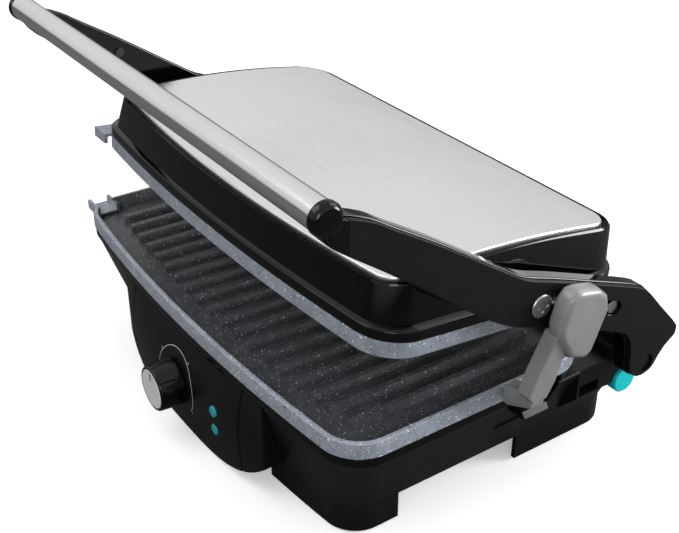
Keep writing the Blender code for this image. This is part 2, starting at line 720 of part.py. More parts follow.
def make_plate(name, spout_setback):
    """Cooking plate in its own frame: rim up at the plate's height, ribs, gutter and grease spout."""
    floor_z = PLATE_RIM_Z - PLATE_FLOOR_DEPTH
    body_z = PLATE_RIM_Z - PLATE_BODY_HEIGHT
    lip = PLATE_RIM_WIDTH
    piece = loft(name, (
        at_height(outline(PLATE_BODY_INSET + PLATE_BODY_LEAN), body_z), at_height(outline(PLATE_BODY_INSET), PLATE_BAND_Z),
        at_height(outline(0), PLATE_BAND_Z), at_height(outline(0), PLATE_RIM_Z - EDGE_ROUND),
        at_height(outline(EDGE_ROUND), PLATE_RIM_Z), at_height(outline(lip), PLATE_RIM_Z),
        at_height(outline(lip + PLATE_WALL_LEAN), floor_z)))
    low = floor_z - PLATE_BODY_DEPTH / 2
    ribs = rib_comb("ribs", low, floor_z)
    area = loft("area", (at_height(outline(RIB_MARGIN), low - OVERRUN), at_height(outline(RIB_MARGIN), PLATE_RIM_Z)))
    combine(ribs, (area,), "INTERSECT")
    join(piece, ribs)
    middle = PLATE_FRONT_Y + spout_setback
    outer = (middle - SPOUT_WIDTH / 2, middle + SPOUT_WIDTH / 2)
    inner = (outer[0] + SPOUT_WALL, outer[1] - SPOUT_WALL)
    inside_x = -PLATE_HALF_X + FRONT_CORNER / 2
    end_x = -PLATE_HALF_X - SPOUT_REACH
    tongue = box("tongue", (end_x, outer[0], PLATE_BAND_Z + SPOUT_RISE), (inside_x, outer[1], PLATE_RIM_Z - EDGE_ROUND))
    join(piece, tongue)
    return cut(piece, box("channel", (end_x - OVERRUN, inner[0], PLATE_BAND_Z + SPOUT_FLOOR),
                          (inside_x + SPOUT_WALL, inner[1], PLATE_RIM_Z + OVERRUN)))


def flip_to_lid(piece):
    """Turn a piece made for the lower plate over, so that heights run up from the upper plate's rim."""
    for vertex in piece.data.vertices:
        vertex.co.z = PLATE_RIM_Z - vertex.co.z
    piece.data.flip_normals()
    return place_on_lid(piece)


def make_heater(name):
    """Heating rod, a closed loop under the plate."""
    middle_z = PLATE_RIM_Z - PLATE_BODY_HEIGHT - GAP - HEATER_RADIUS
    rings = []
    for across, up in circle(HEATER_RADIUS, ARC_STEPS * 2):
        rings.append(at_height(outline(HEATER_INSET + across), middle_z + up))
    return loft(name, rings, wrapped=True)


def make_tray(name):
    """Reflector tray round the heating rod; its rim meets the plate."""
    top_z = PLATE_RIM_Z - PLATE_BODY_HEIGHT - GAP
    floor_z = top_z - 2 * HEATER_RADIUS - GAP
    return loft(name, (
        at_height(outline(TRAY_INSET + TRAY_LEAN), floor_z - TRAY_THICKNESS), at_height(outline(TRAY_INSET), top_z),
        at_height(outline(TRAY_INSET + TRAY_THICKNESS), top_z),
        at_height(outline(TRAY_INSET + TRAY_LEAN + TRAY_THICKNESS), floor_z)))


# Front of the base

def panel_section(x, inset, back_y):
    """Control panel cut at one x, as (y, z): bulging front, low edge that rises to the sides, flat back."""
    share = abs(x) / PANEL_HALF_X
    front_y = PLATE_FRONT_Y - FRONT_BOW * (1 - (x / PLATE_HALF_X) ** 2) + BASE_TOP_INSET
    fade = 1 - share ** 4
    low_z = PANEL_LOW_Z + (PANEL_END_LOW_Z - PANEL_LOW_Z) * share ** 4 + inset
    top_z = PANEL_TOP_Z - inset
    bulge_y = front_y - PANEL_BULGE * fade
    foot_y = front_y - PANEL_FOOT_BULGE * fade
    middle_z = max(PANEL_BULGE_Z, low_z + inset)
    front = ((front_y, top_z), ((front_y + 3 * bulge_y) / 4, (top_z + middle_z) / 2), (bulge_y, middle_z),
             ((3 * bulge_y + foot_y) / 4, (middle_z + low_z) / 2), (foot_y, low_z))
    return [(y + inset, z) for y, z in front] + [(back_y, low_z), (back_y, top_z)]


def panel_solid(name, inset, half_x, back_y):
    """Skin through the panel's sections along X."""
    rings = []
    steps = ARC_STEPS * 2
    for step in range(-steps, steps + 1):
        x = half_x * step / steps
        rings.append([Vector((x, y, z)) for y, z in panel_section(x, inset, back_y)])
    return stack(name, rings)


def panel_front_y(z):
    """Panel's front surface on its middle, at a height near its bulge."""
    section = panel_section(0, 0, PANEL_BACK_Y)[:5]
    for (high_y, high_z), (low_y, low_z) in zip(section, section[1:]):
        if low_z <= z <= high_z:
            return low_y + (high_y - low_y) * (z - low_z) / (high_z - low_z)
    return section[2][0]


def lens_front_y(z):
    """Panel's front surface at the lenses."""
    near = panel_section(LENS_X, 0, PANEL_BACK_Y)
    return near[2][0] + (near[2][1] - z) / (near[2][1] - near[4][1]) * (near[4][0] - near[2][0]) / 2


def make_control_panel():
    """Bulging shell with holes for the shaft and the lenses, hung on the front of the housing."""
    piece = panel_solid("control_panel", 0, PANEL_HALF_X, PANEL_BACK_Y)
    cut(piece, panel_solid("hollow", WALL, PANEL_HALF_X - WALL, PANEL_BACK_Y + OVERRUN))
    body = loft("body", (base_ring(-GAP, BASE_BOTTOM_Z - OVERRUN), base_ring(-GAP, BASE_DRAFT_Z),
                         base_ring(-GAP, BASE_TOP_Z + OVERRUN)))
    cut(piece, body)
    far = PLATE_FRONT_Y - FRONT_BOW - PANEL_BULGE - OVERRUN
    cut(piece, cylinder("hole", "Y", (KNOB_X, KNOB_Z), THERMOSTAT_NECK_RADIUS + GAP, far, PANEL_BACK_Y, SMALL_SIDES))
    for z in (POWER_LENS_Z, READY_LENS_Z):
        cut(piece, cylinder("hole", "Y", (LENS_X, z), LENS_RADIUS + GAP, far, PANEL_BACK_Y, SMALL_SIDES))
    return piece


def make_lens(name, z):
    """Round indicator lens, a little proud of the panel."""
    front_y = lens_front_y(z) - LENS_PROUD
    return turned(name, "Y", (LENS_X, z), (
        (LENS_RADIUS - LENS_PROUD, front_y), (LENS_RADIUS, front_y + LENS_PROUD),
        (LENS_RADIUS, front_y + LENS_DEPTH)), SMALL_SIDES)


def make_lamp_carrier():
    """Small board with a lamp behind each lens."""
    lamp_y = max(lens_front_y(POWER_LENS_Z), lens_front_y(READY_LENS_Z)) - LENS_PROUD + LENS_DEPTH + GAP
    board_y = lamp_y + LAMP_LENGTH
    middle_z = (POWER_LENS_Z + READY_LENS_Z) / 2
    piece = box("lamp_carrier", (LENS_X - CARRIER_WIDTH / 2, board_y, middle_z - CARRIER_HEIGHT / 2),
                (LENS_X + CARRIER_WIDTH / 2, board_y + CARRIER_THICKNESS, middle_z + CARRIER_HEIGHT / 2))
    for z in (POWER_LENS_Z, READY_LENS_Z):
        lamp_end = board_y + CARRIER_THICKNESS / 2
        join(piece, cylinder("lamp", "Y", (LENS_X, z), LAMP_RADIUS, lamp_y, lamp_end, SMALL_SIDES))
    return piece


def knob_back_y():
    return panel_front_y(KNOB_Z) - KNOB_STANDOFF


def make_knob():
    """Round knob: skirt, pocket behind, hub with a blind socket, recess in its face."""
    back = knob_back_y()
    face = back - KNOB_DEPTH
    socket_end = back - SHAFT_SOCKET_DEPTH
    cap_floor = face + KNOB_CAP_THICKNESS
    piece = turned("knob", "Y", (KNOB_X, KNOB_Z), (
        (KNOB_CAP_RADIUS + GAP, cap_floor), (KNOB_CAP_RADIUS + GAP, face), (KNOB_FACE_RADIUS - EDGE_ROUND, face),
        (KNOB_FACE_RADIUS, face + EDGE_ROUND), (KNOB_RADIUS, back), (KNOB_POCKET_RADIUS, back),
        (KNOB_POCKET_RADIUS, cap_floor + KNOB_WEB), (KNOB_HUB_RADIUS, cap_floor + KNOB_WEB), (KNOB_HUB_RADIUS, back),
        (SHAFT_RADIUS + GAP, back), (SHAFT_RADIUS + GAP, socket_end)))
    return piece


def make_knob_cap():
    """Metal disc in the knob's face."""
    face = knob_back_y() - KNOB_DEPTH
    return turned("knob_cap", "Y", (KNOB_X, KNOB_Z), (
        (KNOB_CAP_RADIUS, face + KNOB_CAP_THICKNESS - GAP), (KNOB_CAP_RADIUS, face + GAP),
        (KNOB_CAP_RADIUS - GAP, face)))


def make_shaft():
    """Thermostat's shaft, from the knob's socket into the thermostat."""
    tip = knob_back_y() - SHAFT_SOCKET_DEPTH + GAP
    return cylinder("thermostat_shaft", "Y", (KNOB_X, KNOB_Z), SHAFT_RADIUS, tip,
                    PANEL_BACK_Y + THERMOSTAT_BORE_DEPTH - GAP, SMALL_SIDES)


def make_thermostat():
    """Thermostat body behind the panel, with a threaded neck through the panel's hole."""
    front = PANEL_BACK_Y
    piece = box("thermostat", (KNOB_X - THERMOSTAT_WIDTH / 2, front, KNOB_Z - THERMOSTAT_HEIGHT / 2),
                (KNOB_X + THERMOSTAT_WIDTH / 2, front + THERMOSTAT_DEPTH, KNOB_Z + THERMOSTAT_HEIGHT / 2))
    neck_tip = panel_front_y(KNOB_Z) + EDGE_ROUND
    join(piece, cylinder("neck", "Y", (KNOB_X, KNOB_Z), THERMOSTAT_NECK_RADIUS, neck_tip, front + WALL, SMALL_SIDES))
    return cut(piece, cylinder("bore", "Y", (KNOB_X, KNOB_Z), SHAFT_RADIUS + RUN, neck_tip - OVERRUN,
                               front + THERMOSTAT_BORE_DEPTH, SMALL_SIDES))


def make_gland():
    """Flanged grommet in the rear wall, bored for a mains cord."""
    face = BASE_BACK_Y - GLAND_FACE_INSET
    inner = BASE_BACK_Y - WALL - GAP
    return ring_tube("cord_gland", "Y", (GLAND_X, GLAND_Z), (
        (GLAND_BORE, inner - GLAND_DEPTH + WALL), (GLAND_RADIUS + GLAND_FLANGE, inner - GLAND_DEPTH + WALL),
        (GLAND_RADIUS + GLAND_FLANGE, inner), (GLAND_RADIUS, inner), (GLAND_RADIUS, face - EDGE_ROUND),
        (GLAND_RADIUS - EDGE_ROUND, face), (GLAND_BORE, face)), SMALL_SIDES)


def make_terminal_block():
    """Terminal block on the bottom cover, ahead of the gland."""
    low_z = COVER_TOP_Z + GAP
    return box("terminal_block", (GLAND_X - TERMINAL_WIDTH / 2, TERMINAL_Y - TERMINAL_DEPTH / 2, low_z),
               (GLAND_X + TERMINAL_WIDTH / 2, TERMINAL_Y + TERMINAL_DEPTH / 2, low_z + TERMINAL_HEIGHT))


# Hinge at the rear of each side

def make_hinge_bracket():
    """Block with the hinge's bearing, the release button's bore and a slot in its side."""
    piece = prism("hinge_bracket_right", bracket_outline(), "Y", BRACKET_FRONT_Y, BRACKET_BACK_Y)
    join(piece, cylinder("boss", "X", (HINGE_Y, HINGE_Z), BRACKET_BOSS_RADIUS, BRACKET_INNER_X + WALL, BRACKET_OUTER_X))
    cut(piece, cylinder("bearing", "X", (HINGE_Y, HINGE_Z), HUB_RADIUS + RUN, BRACKET_OUTER_X - HUB_LENGTH - GAP,
                        BRACKET_OUTER_X + OVERRUN),
        box("slot", (BRACKET_OUTER_X - BRACKET_SLOT_DEPTH, BRACKET_SLOT_Y - BRACKET_SLOT_WIDTH / 2,
                     BRACKET_SLOT_Z - BRACKET_SLOT_HEIGHT / 2),
            (BRACKET_OUTER_X + OVERRUN, BRACKET_SLOT_Y + BRACKET_SLOT_WIDTH / 2,
             BRACKET_SLOT_Z + BRACKET_SLOT_HEIGHT / 2)))
    return piece


def button_bore_x():
    """Floor of the release button's bore."""
    return BUTTON_FACE_X - BUTTON_LENGTH - BUTTON_TRAVEL - SPRING_LENGTH - 2 * SPRING_WIRE - GAP


def cut_button_bore(bracket):
    return cut(bracket, cylinder("bore", "X", (BUTTON_Y, BUTTON_Z), BUTTON_RADIUS + RUN, button_bore_x(),
                                 BRACKET_OUTER_X + OVERRUN))


def make_release_button():
    """Round button that frees the hinge for opening flat; a guide stem reaches into its spring."""
    back = BUTTON_FACE_X - BUTTON_LENGTH
    return turned("release_button", "X", (BUTTON_Y, BUTTON_Z), (
        (BUTTON_RADIUS, back), (BUTTON_RADIUS, BUTTON_FACE_X - EDGE_ROUND), (BUTTON_RADIUS - EDGE_ROUND, BUTTON_FACE_X)))


def make_release_spring():
    """Coil spring on the floor of the button's bore."""
    steps = SPRING_TURNS * SMALL_SIDES
    start_x = button_bore_x() + SPRING_WIRE + GAP
    rings = []
    for step in range(steps + 1):
        turn = 2 * math.pi * step / SMALL_SIDES
        x = start_x + SPRING_LENGTH * step / steps
        outward = Vector((0, math.cos(turn), math.sin(turn)))
        centre = Vector((x, BUTTON_Y, BUTTON_Z)) + outward * SPRING_RADIUS
        rings.append([centre + outward * across + Vector((up, 0, 0)) for across, up in circle(SPRING_WIRE, WIRE_SIDES)])
    return stack("release_spring", rings)


def make_hinge_hub():
    """Flanged sleeve that turns in the bracket and carries the arm's pin."""
    inner = BRACKET_OUTER_X - HUB_LENGTH
    flange = BRACKET_OUTER_X + GAP
    return ring_tube("hinge_hub_right", "X", (HINGE_Y, HINGE_Z), (
        (HUB_BORE, inner), (HUB_RADIUS, inner), (HUB_RADIUS, flange), (HUB_FLANGE_RADIUS, flange),
        (HUB_FLANGE_RADIUS, flange + HUB_FLANGE), (HUB_BORE, flange + HUB_FLANGE)))


def make_hinge_pin():
    """Pin from the arm into the hub, with a head on the arm's frame."""
    head = ARM_FRAME_X + GAP
    return turned("hinge_pin_right", "X", (HINGE_Y, HINGE_Z), (
        (HINGE_PIN_RADIUS, BRACKET_OUTER_X - HUB_LENGTH + WALL), (HINGE_PIN_RADIUS, head), (HINGE_HEAD_RADIUS, head),
        (HINGE_HEAD_RADIUS, head + HINGE_HEAD - GAP), (HINGE_HEAD_RADIUS - GAP, head + HINGE_HEAD)))


def make_latch_catch():
    """Keeper that the latch's hook reaches under, on a plate behind the window in the housing."""
    low_y = CATCH_WINDOW_FRONT_Y + GAP
    high_y = CATCH_WINDOW_BACK_Y - GAP
    piece = box("latch_catch", (CATCH_PLATE_X - WALL, low_y, CATCH_WINDOW_LOW_Z + GAP),
                (CATCH_PLATE_X, high_y, CATCH_WINDOW_HIGH_Z))
    keeper = prism("keeper", ((CATCH_PLATE_X - WALL / 2, CATCH_LOW_Z), (CATCH_REACH_X - WALL, CATCH_LOW_Z),
                              (CATCH_REACH_X, CATCH_LOW_Z + WALL / 2), (CATCH_REACH_X - WALL, CATCH_HIGH_Z),
                              (CATCH_PLATE_X - WALL / 2, CATCH_HIGH_Z)), "Y", CATCH_FRONT_Y, CATCH_BACK_Y)
    return join(piece, keeper)


# Yoke: two cranked arms and the handle

def arm_outline():
    return anticlockwise([arm_place(shares) for shares in ARM_OUTLINE_SHARES])


def front_region(name, front):
    """Everything ahead of the cover's front edge, or everything behind it."""
    split_y = HINGE_Y - ELBOW_SHARE * ARM_REACH
    far_y = FRONT_REACH_Y - ARM_FRAME_THICKNESS if front else HINGE_Y + ARM_FRAME_THICKNESS * 4
    low_y, high_y = sorted((split_y, far_y))
    high_z = HANDLE_Z + ARM_FRAME_THICKNESS * 4
    return box(name, (ARM_INNER_X - OVERRUN, low_y, 0), (ELBOW_OUTER_X + OVERRUN, high_y, high_z))


def handle_axis():
    return HANDLE_Y, HANDLE_Z


def make_arm():
    """Glossy frame of the right arm, with the elbow that closes the handle's end."""
    grown = inset_polygon(arm_outline(), -ARM_FRAME_LIP)
    piece = prism("arm_right", grown, "X", ARM_INNER_X, ARM_FRAME_X)
    neck = prism("neck", arm_outline(), "X", ARM_FRAME_X - WALL, ELBOW_OUTER_X - WALL / 2)
    combine(neck, (front_region("front", True),), "INTERSECT")
    join(bevelled(piece, EDGE_ROUND), bevelled(neck, EDGE_ROUND))
    radius = HANDLE_RADIUS + ELBOW_WALL
    elbow = turned("elbow", "X", handle_axis(), (
        (radius, ELBOW_INNER_X), (radius, ELBOW_OUTER_X - ELBOW_ROUND),
        (radius - ELBOW_ROUND / 3, ELBOW_OUTER_X - ELBOW_ROUND / 3), (radius - ELBOW_ROUND, ELBOW_OUTER_X)))
    join(piece, elbow)
    cut(piece, cylinder("saddle", "X", handle_axis(), HANDLE_RADIUS + GAP, ARM_INNER_X - OVERRUN, ELBOW_INNER_X),
        cylinder("socket", "X", handle_axis(), CORE_SPIGOT_RADIUS + GAP, ELBOW_INNER_X - OVERRUN,
                 ELBOW_INNER_X + CORE_SPIGOT_LENGTH + GAP, SMALL_SIDES),
        *(cylinder("hole", "X", centre, radius, ARM_INNER_X - OVERRUN, ARM_FRAME_X + OVERRUN, SMALL_SIDES)
          for centre, radius in arm_holes()))
    return piece


def arm_holes():
    """Centres and radii of the holes through the arm's frame."""
    return (((HINGE_Y, HINGE_Z), HINGE_PIN_RADIUS + GAP), ((PIVOT_Y, PIVOT_Z), PIVOT_SCREW_RADIUS + GAP),
            ((LATCH_Y, LATCH_Z), LATCH_PIN_RADIUS + GAP), (arm_place(ARM_SCREW_SHARES), ARM_SCREW_RADIUS + GAP),
            (rivet_place(), RIVET_RADIUS + GAP))


def rivet_place():
    """The rivet sits near the front end of the slot in the cover."""
    slot_y, slot_z = arm_place(ARM_SLOT_SHARES)
    shift = ARM_SLOT_LENGTH / 2 - ARM_SLOT_RIVET_SETBACK
    return slot_y + shift * math.cos(ARM_SLOT_ANGLE), slot_z + shift * math.sin(ARM_SLOT_ANGLE)


def slot_outline():
    """Slot with round ends along the arm, as (y, z)."""
    centre_y, centre_z = arm_place(ARM_SLOT_SHARES)
    radius = ARM_SLOT_WIDTH / 2
    points = []
    for side in (1, -1):
        for step in range(ARC_STEPS + 1):
            turn = ARM_SLOT_ANGLE - math.pi / 2 * side + math.pi * side * step / ARC_STEPS * side
            shift = side * (ARM_SLOT_LENGTH / 2 - radius)
            points.append((centre_y + shift * math.cos(ARM_SLOT_ANGLE) + radius * math.cos(turn),
                           centre_z + shift * math.sin(ARM_SLOT_ANGLE) + radius * math.sin(turn)))
    return points


def make_arm_cover():
    """Matt cover on the outside of the right arm, behind the elbow."""
    piece = prism("arm_cover_right", arm_outline(), "X", ARM_COVER_INNER_X, ARM_OUTER_X)
    combine(piece, (front_region("back", False),), "INTERSECT")
    bevelled(piece, EDGE_ROUND / 2)
    through = (ARM_COVER_INNER_X - OVERRUN, ARM_OUTER_X + OVERRUN)
    return cut(piece, cylinder("hole", "X", (HINGE_Y, HINGE_Z), HINGE_HEAD_RADIUS + GAP, *through, SMALL_SIDES),
               cylinder("hole", "X", (PIVOT_Y, PIVOT_Z), PIVOT_SCREW_RADIUS + GAP, *through, SMALL_SIDES),
               cylinder("hole", "X", (LATCH_Y, LATCH_Z), LATCH_PIN_RADIUS + GAP, *through, SMALL_SIDES),
               cylinder("hole", "X", arm_place(ARM_SCREW_SHARES), ARM_SCREW_RADIUS + GAP, through[0],
                        ARM_OUTER_X - EDGE_ROUND, SMALL_SIDES),
               prism("slot", slot_outline(), "X", *through))


def make_arm_screw():
    """Screw from the arm's inner face into its cover."""
    head = ARM_INNER_X - GAP
    return turned("arm_screw_right", "X", arm_place(ARM_SCREW_SHARES), (
        (ARM_SCREW_HEAD_RADIUS - GAP, head - ARM_SCREW_HEAD), (ARM_SCREW_HEAD_RADIUS, head - ARM_SCREW_HEAD + GAP),
        (ARM_SCREW_HEAD_RADIUS, head), (ARM_SCREW_RADIUS, head),
        (ARM_SCREW_RADIUS, ARM_OUTER_X - EDGE_ROUND - GAP)), SMALL_SIDES)


def make_slot_rivet():
    """Rivet through the frame, with its head in the cover's slot."""
    head = ARM_FRAME_X + GAP
    return turned("slot_rivet_right", "X", rivet_place(), (
        (RIVET_RADIUS, ARM_INNER_X), (RIVET_RADIUS, head), (RIVET_HEAD_RADIUS, head),
        (RIVET_HEAD_RADIUS, head + RIVET_HEAD - GAP), (RIVET_HEAD_RADIUS - GAP, head + RIVET_HEAD)), SMALL_SIDES)


def make_handle_tube():
    """Steel sheet bent round the core, open along its lower back."""
    inner = HANDLE_RADIUS - HANDLE_SHEET
    sides = ROUND_SIDES - ARC_STEPS
    turns = [HANDLE_OPEN_TOWARDS + math.pi + HANDLE_WRAP * (side / sides - 1 / 2) for side in range(sides + 1)]
    points = [(HANDLE_Y + HANDLE_RADIUS * math.cos(turn), HANDLE_Z + HANDLE_RADIUS * math.sin(turn)) for turn in turns]
    points += [(HANDLE_Y + inner * math.cos(turn), HANDLE_Z + inner * math.sin(turn)) for turn in reversed(turns)]
    return prism("handle_tube", points, "X", -HANDLE_HALF_X, HANDLE_HALF_X)


def make_handle_core():
    """Core inside the handle's sheet, with a spigot into each elbow."""
    radius = HANDLE_RADIUS - HANDLE_SHEET - GAP
    tip = ELBOW_INNER_X + CORE_SPIGOT_LENGTH
    return turned("handle_core", "X", handle_axis(), (
        (CORE_SPIGOT_RADIUS, -tip), (CORE_SPIGOT_RADIUS, -HANDLE_HALF_X), (radius, -HANDLE_HALF_X),
        (radius, HANDLE_HALF_X), (CORE_SPIGOT_RADIUS, HANDLE_HALF_X), (CORE_SPIGOT_RADIUS, tip)))


def make_pivot_screw():
    """Large cross-head screw that carries the lid."""
    head = ARM_OUTER_X + GAP
    top = head + PIVOT_HEAD
    piece = turned("pivot_screw_right", "X", (PIVOT_Y, PIVOT_Z), (
        (PIVOT_SCREW_RADIUS, BUSH_INNER_X), (PIVOT_SCREW_RADIUS, head), (PIVOT_HEAD_RADIUS, head),
        (PIVOT_HEAD_RADIUS, top - EDGE_ROUND), (PIVOT_HEAD_RADIUS - EDGE_ROUND, top)))
    half = CROSS_LENGTH / 2
    width = CROSS_WIDTH / 2
    cross = ((half, width), (width, width), (width, half), (-width, half), (-width, width), (-half, width),
             (-half, -width), (-width, -width), (-width, -half), (width, -half), (width, -width), (half, -width))
    points = [(PIVOT_Y + along, PIVOT_Z + up) for along, up in cross]
    return cut(piece, prism("cross", points, "X", top - CROSS_DEPTH, top + OVERRUN))


def make_lid_bush():
    """Flanged bush that turns on the pivot screw and in the lid."""
    end = ARM_INNER_X - RUN
    return ring_tube("lid_bush_right", "X", (PIVOT_Y, PIVOT_Z), (
        (BUSH_BORE, BUSH_INNER_X), (BUSH_RADIUS, BUSH_INNER_X), (BUSH_RADIUS, BUSH_FLANGE_X),
        (BUSH_FLANGE_RADIUS, BUSH_FLANGE_X), (BUSH_FLANGE_RADIUS, end), (BUSH_BORE, end)))


# Lid

def crown(y):
    """Height of the steel panel's top over the upper plate's rim."""
    return LID_CROWN_HEIGHT - (y - LID_CROWN_Y) ** 2 / (2 * LID_CROWN_RADIUS)


def lid_ring(inset, front_inset, back_inset, height):
    """Ring of the lid's wall, with its own setbacks at the front and the rear."""
    points = outline(0, PLATE_HALF_X - inset, PLATE_FRONT_Y + front_inset, PLATE_BACK_Y - back_inset,
                     FRONT_CORNER - front_inset, BACK_CORNER - inset)
    return at_height(points, height)


def recess_ring(inset, height):
    """Ring of the steel panel or of its recess, which follows the lid's rim."""
    return lid_ring(LID_RIM_INSET + inset, LID_TOP_FRONT_INSET + inset, LID_RIM_BACK_INSET + inset, height)


def make_lid_housing():
    """Moulded lid with a flange, drafted wall, panel recess and a boss for each pivot."""
    flange_low = PLATE_BAND + GAP
    flange_top = flange_low + FLANGE_HEIGHT
    piece = loft("lid_housing", (
        lid_ring(LID_TOP_INSET + WALL, LID_TOP_FRONT_INSET + WALL, 2 * WALL, LID_ROOF_HEIGHT),
        lid_ring(LID_WALL_INSET + WALL, LID_WALL_FRONT_INSET + 2 * WALL, 2 * WALL, flange_low + WALL),
        at_height(outline(OPENING_INSET), flange_low + WALL),
        at_height(outline(OPENING_INSET), flange_low), at_height(outline(0), flange_low),
        at_height(outline(0), flange_top - EDGE_ROUND), at_height(outline(EDGE_ROUND), flange_top),
        lid_ring(LID_WALL_INSET, LID_WALL_FRONT_INSET, LID_WALL_BACK_INSET, flange_top + EDGE_ROUND),
        lid_ring(LID_TOP_INSET, LID_TOP_FRONT_INSET, LID_TOP_BACK_INSET, lambda y: crown(y) - LID_SIDE_DROP),
        recess_ring(0, lambda y: crown(y) - LID_RIM_DROP),
        recess_ring(EDGE_ROUND, lambda y: crown(y) - PANEL_RECESS)))
    for cutter, radius, low_x, high_x in pivot_seat():
        seat = cylinder("seat", "X", (PIVOT_PLATE_Y, PIVOT_HEIGHT), radius, low_x, high_x)
        change = "DIFFERENCE" if cutter else "UNION"
        combine(piece, (mirrored(seat, "seat"), seat), change)
    return place_on_lid(piece)


def pivot_seat():
    """Boss, its bore and the flat that faces the bush's flange: whether it cuts, radius, and reach in X."""
    boss_end = BUSH_FLANGE_X - RUN
    boss_start = boss_end - PIVOT_BOSS_LENGTH
    return ((False, PIVOT_BOSS_RADIUS, boss_start, boss_end),
            (True, BUSH_RADIUS + RUN, boss_start - OVERRUN, PLATE_HALF_X + OVERRUN),
            (True, BUSH_FLANGE_RADIUS + RUN, boss_end, PLATE_HALF_X + OVERRUN))


def make_upper_plate():
    """Upper plate, relieved at each side for the lid's pivot bosses."""
    piece = make_plate("upper_plate", UPPER_SPOUT_SETBACK)
    reach = PIVOT_BOSS_RADIUS + GAP
    start_x = BUSH_FLANGE_X - RUN - PIVOT_BOSS_LENGTH - GAP
    for low_x, high_x in ((start_x, PLATE_HALF_X), (-PLATE_HALF_X, -start_x)):
        cut(piece, box("relief", (low_x, PIVOT_PLATE_Y - reach, PLATE_BAND_Z - PLATE_BODY_DEPTH - OVERRUN),
                       (high_x, PIVOT_PLATE_Y + reach, PLATE_BAND_Z - GAP)))
    return flip_to_lid(piece)


def make_lid_panel():
    """Crowned steel panel in the lid's recess."""
    inset = EDGE_ROUND + PANEL_PLAY
    piece = loft("lid_top_panel", (
        recess_ring(inset, lambda y: crown(y) - PANEL_RECESS + GAP), recess_ring(inset, lambda y: crown(y) - EDGE_ROUND),
        recess_ring(inset + EDGE_ROUND, crown)))
    return place_on_lid(piece)


def make_thermal_fuse():
    """Thermal fuse on the back of the upper tray."""
    height = PLATE_BODY_HEIGHT + 2 * GAP + 2 * HEATER_RADIUS + TRAY_THICKNESS + GAP + FUSE_RADIUS
    piece = cylinder("thermal_fuse", "X", (PIVOT_PLATE_Y, height), FUSE_RADIUS, FUSE_X - FUSE_LENGTH / 2,
                     FUSE_X + FUSE_LENGTH / 2, SMALL_SIDES)
    return place_on_lid(piece)


# Latch

def latch_place(shares):
    """Side-view place from shares of the paddle's size, counted from the latch's pin."""
    return LATCH_Y + shares[0] * PADDLE_WIDTH, LATCH_Z + shares[1] * PADDLE_HEIGHT


def make_latch():
    """Grey lever: paddle beside the arm, leg that hangs in front of it, foot that hooks under the catch."""
    paddle = anticlockwise([latch_place(shares) for shares in PADDLE_SHARES])
    leg = anticlockwise([latch_place(shares) for shares in LEG_SHARES])
    piece = prism("latch_lever", paddle, "X", LATCH_INNER_X, LATCH_OUTER_X)
    bevelled(piece, 2 * EDGE_ROUND)
    join(piece, bevelled(prism("leg", leg, "X", LEG_INNER_X, LEG_OUTER_X), EDGE_ROUND))
    back_y = LATCH_Y + FOOT_SHARES[1] * PADDLE_WIDTH
    front_y = LATCH_Y + FOOT_SHARES[0] * PADDLE_WIDTH
    tip_low, root_low, root_high, tip_high = (LATCH_Z + share * PADDLE_HEIGHT for share in FOOT_HEIGHT_SHARES)
    foot = prism("foot", ((FOOT_TIP_X, tip_low), (FOOT_LIP_X, tip_low), (LEG_OUTER_X - EDGE_ROUND, root_low),
                          (LEG_OUTER_X - EDGE_ROUND, root_high), (LEG_INNER_X, root_high), (FOOT_TIP_X, tip_high)),
                 "Y", front_y, back_y)
    join(piece, bevelled(foot, EDGE_ROUND))
    return cut(piece, cylinder("hole", "X", (LATCH_Y, LATCH_Z), LATCH_PIN_RADIUS + RUN, LEG_INNER_X - OVERRUN,
                               LATCH_PIN_END_X + GAP, SMALL_SIDES))


def make_latch_pin():
    """Pin through the arm into the latch."""
    return turned("latch_pin", "X", (LATCH_Y, LATCH_Z), (
        (LATCH_PIN_RADIUS, ARM_INNER_X), (LATCH_PIN_RADIUS, LATCH_PIN_END_X)), SMALL_SIDES)


# The whole grill

def clear_scene():
    for piece in list(bpy.data.objects):
        bpy.data.objects.remove(piece)


def both_sides(piece, finish_material, pivot=(0, 0, 0)):
    """Finish a right-hand piece and its mirrored twin."""
    twin = mirrored(piece, piece.name.replace("right", "left"))
    left_pivot = (-pivot[0], pivot[1], pivot[2])
    return finish(piece, finish_material, pivot), finish(twin, finish_material, left_pivot)


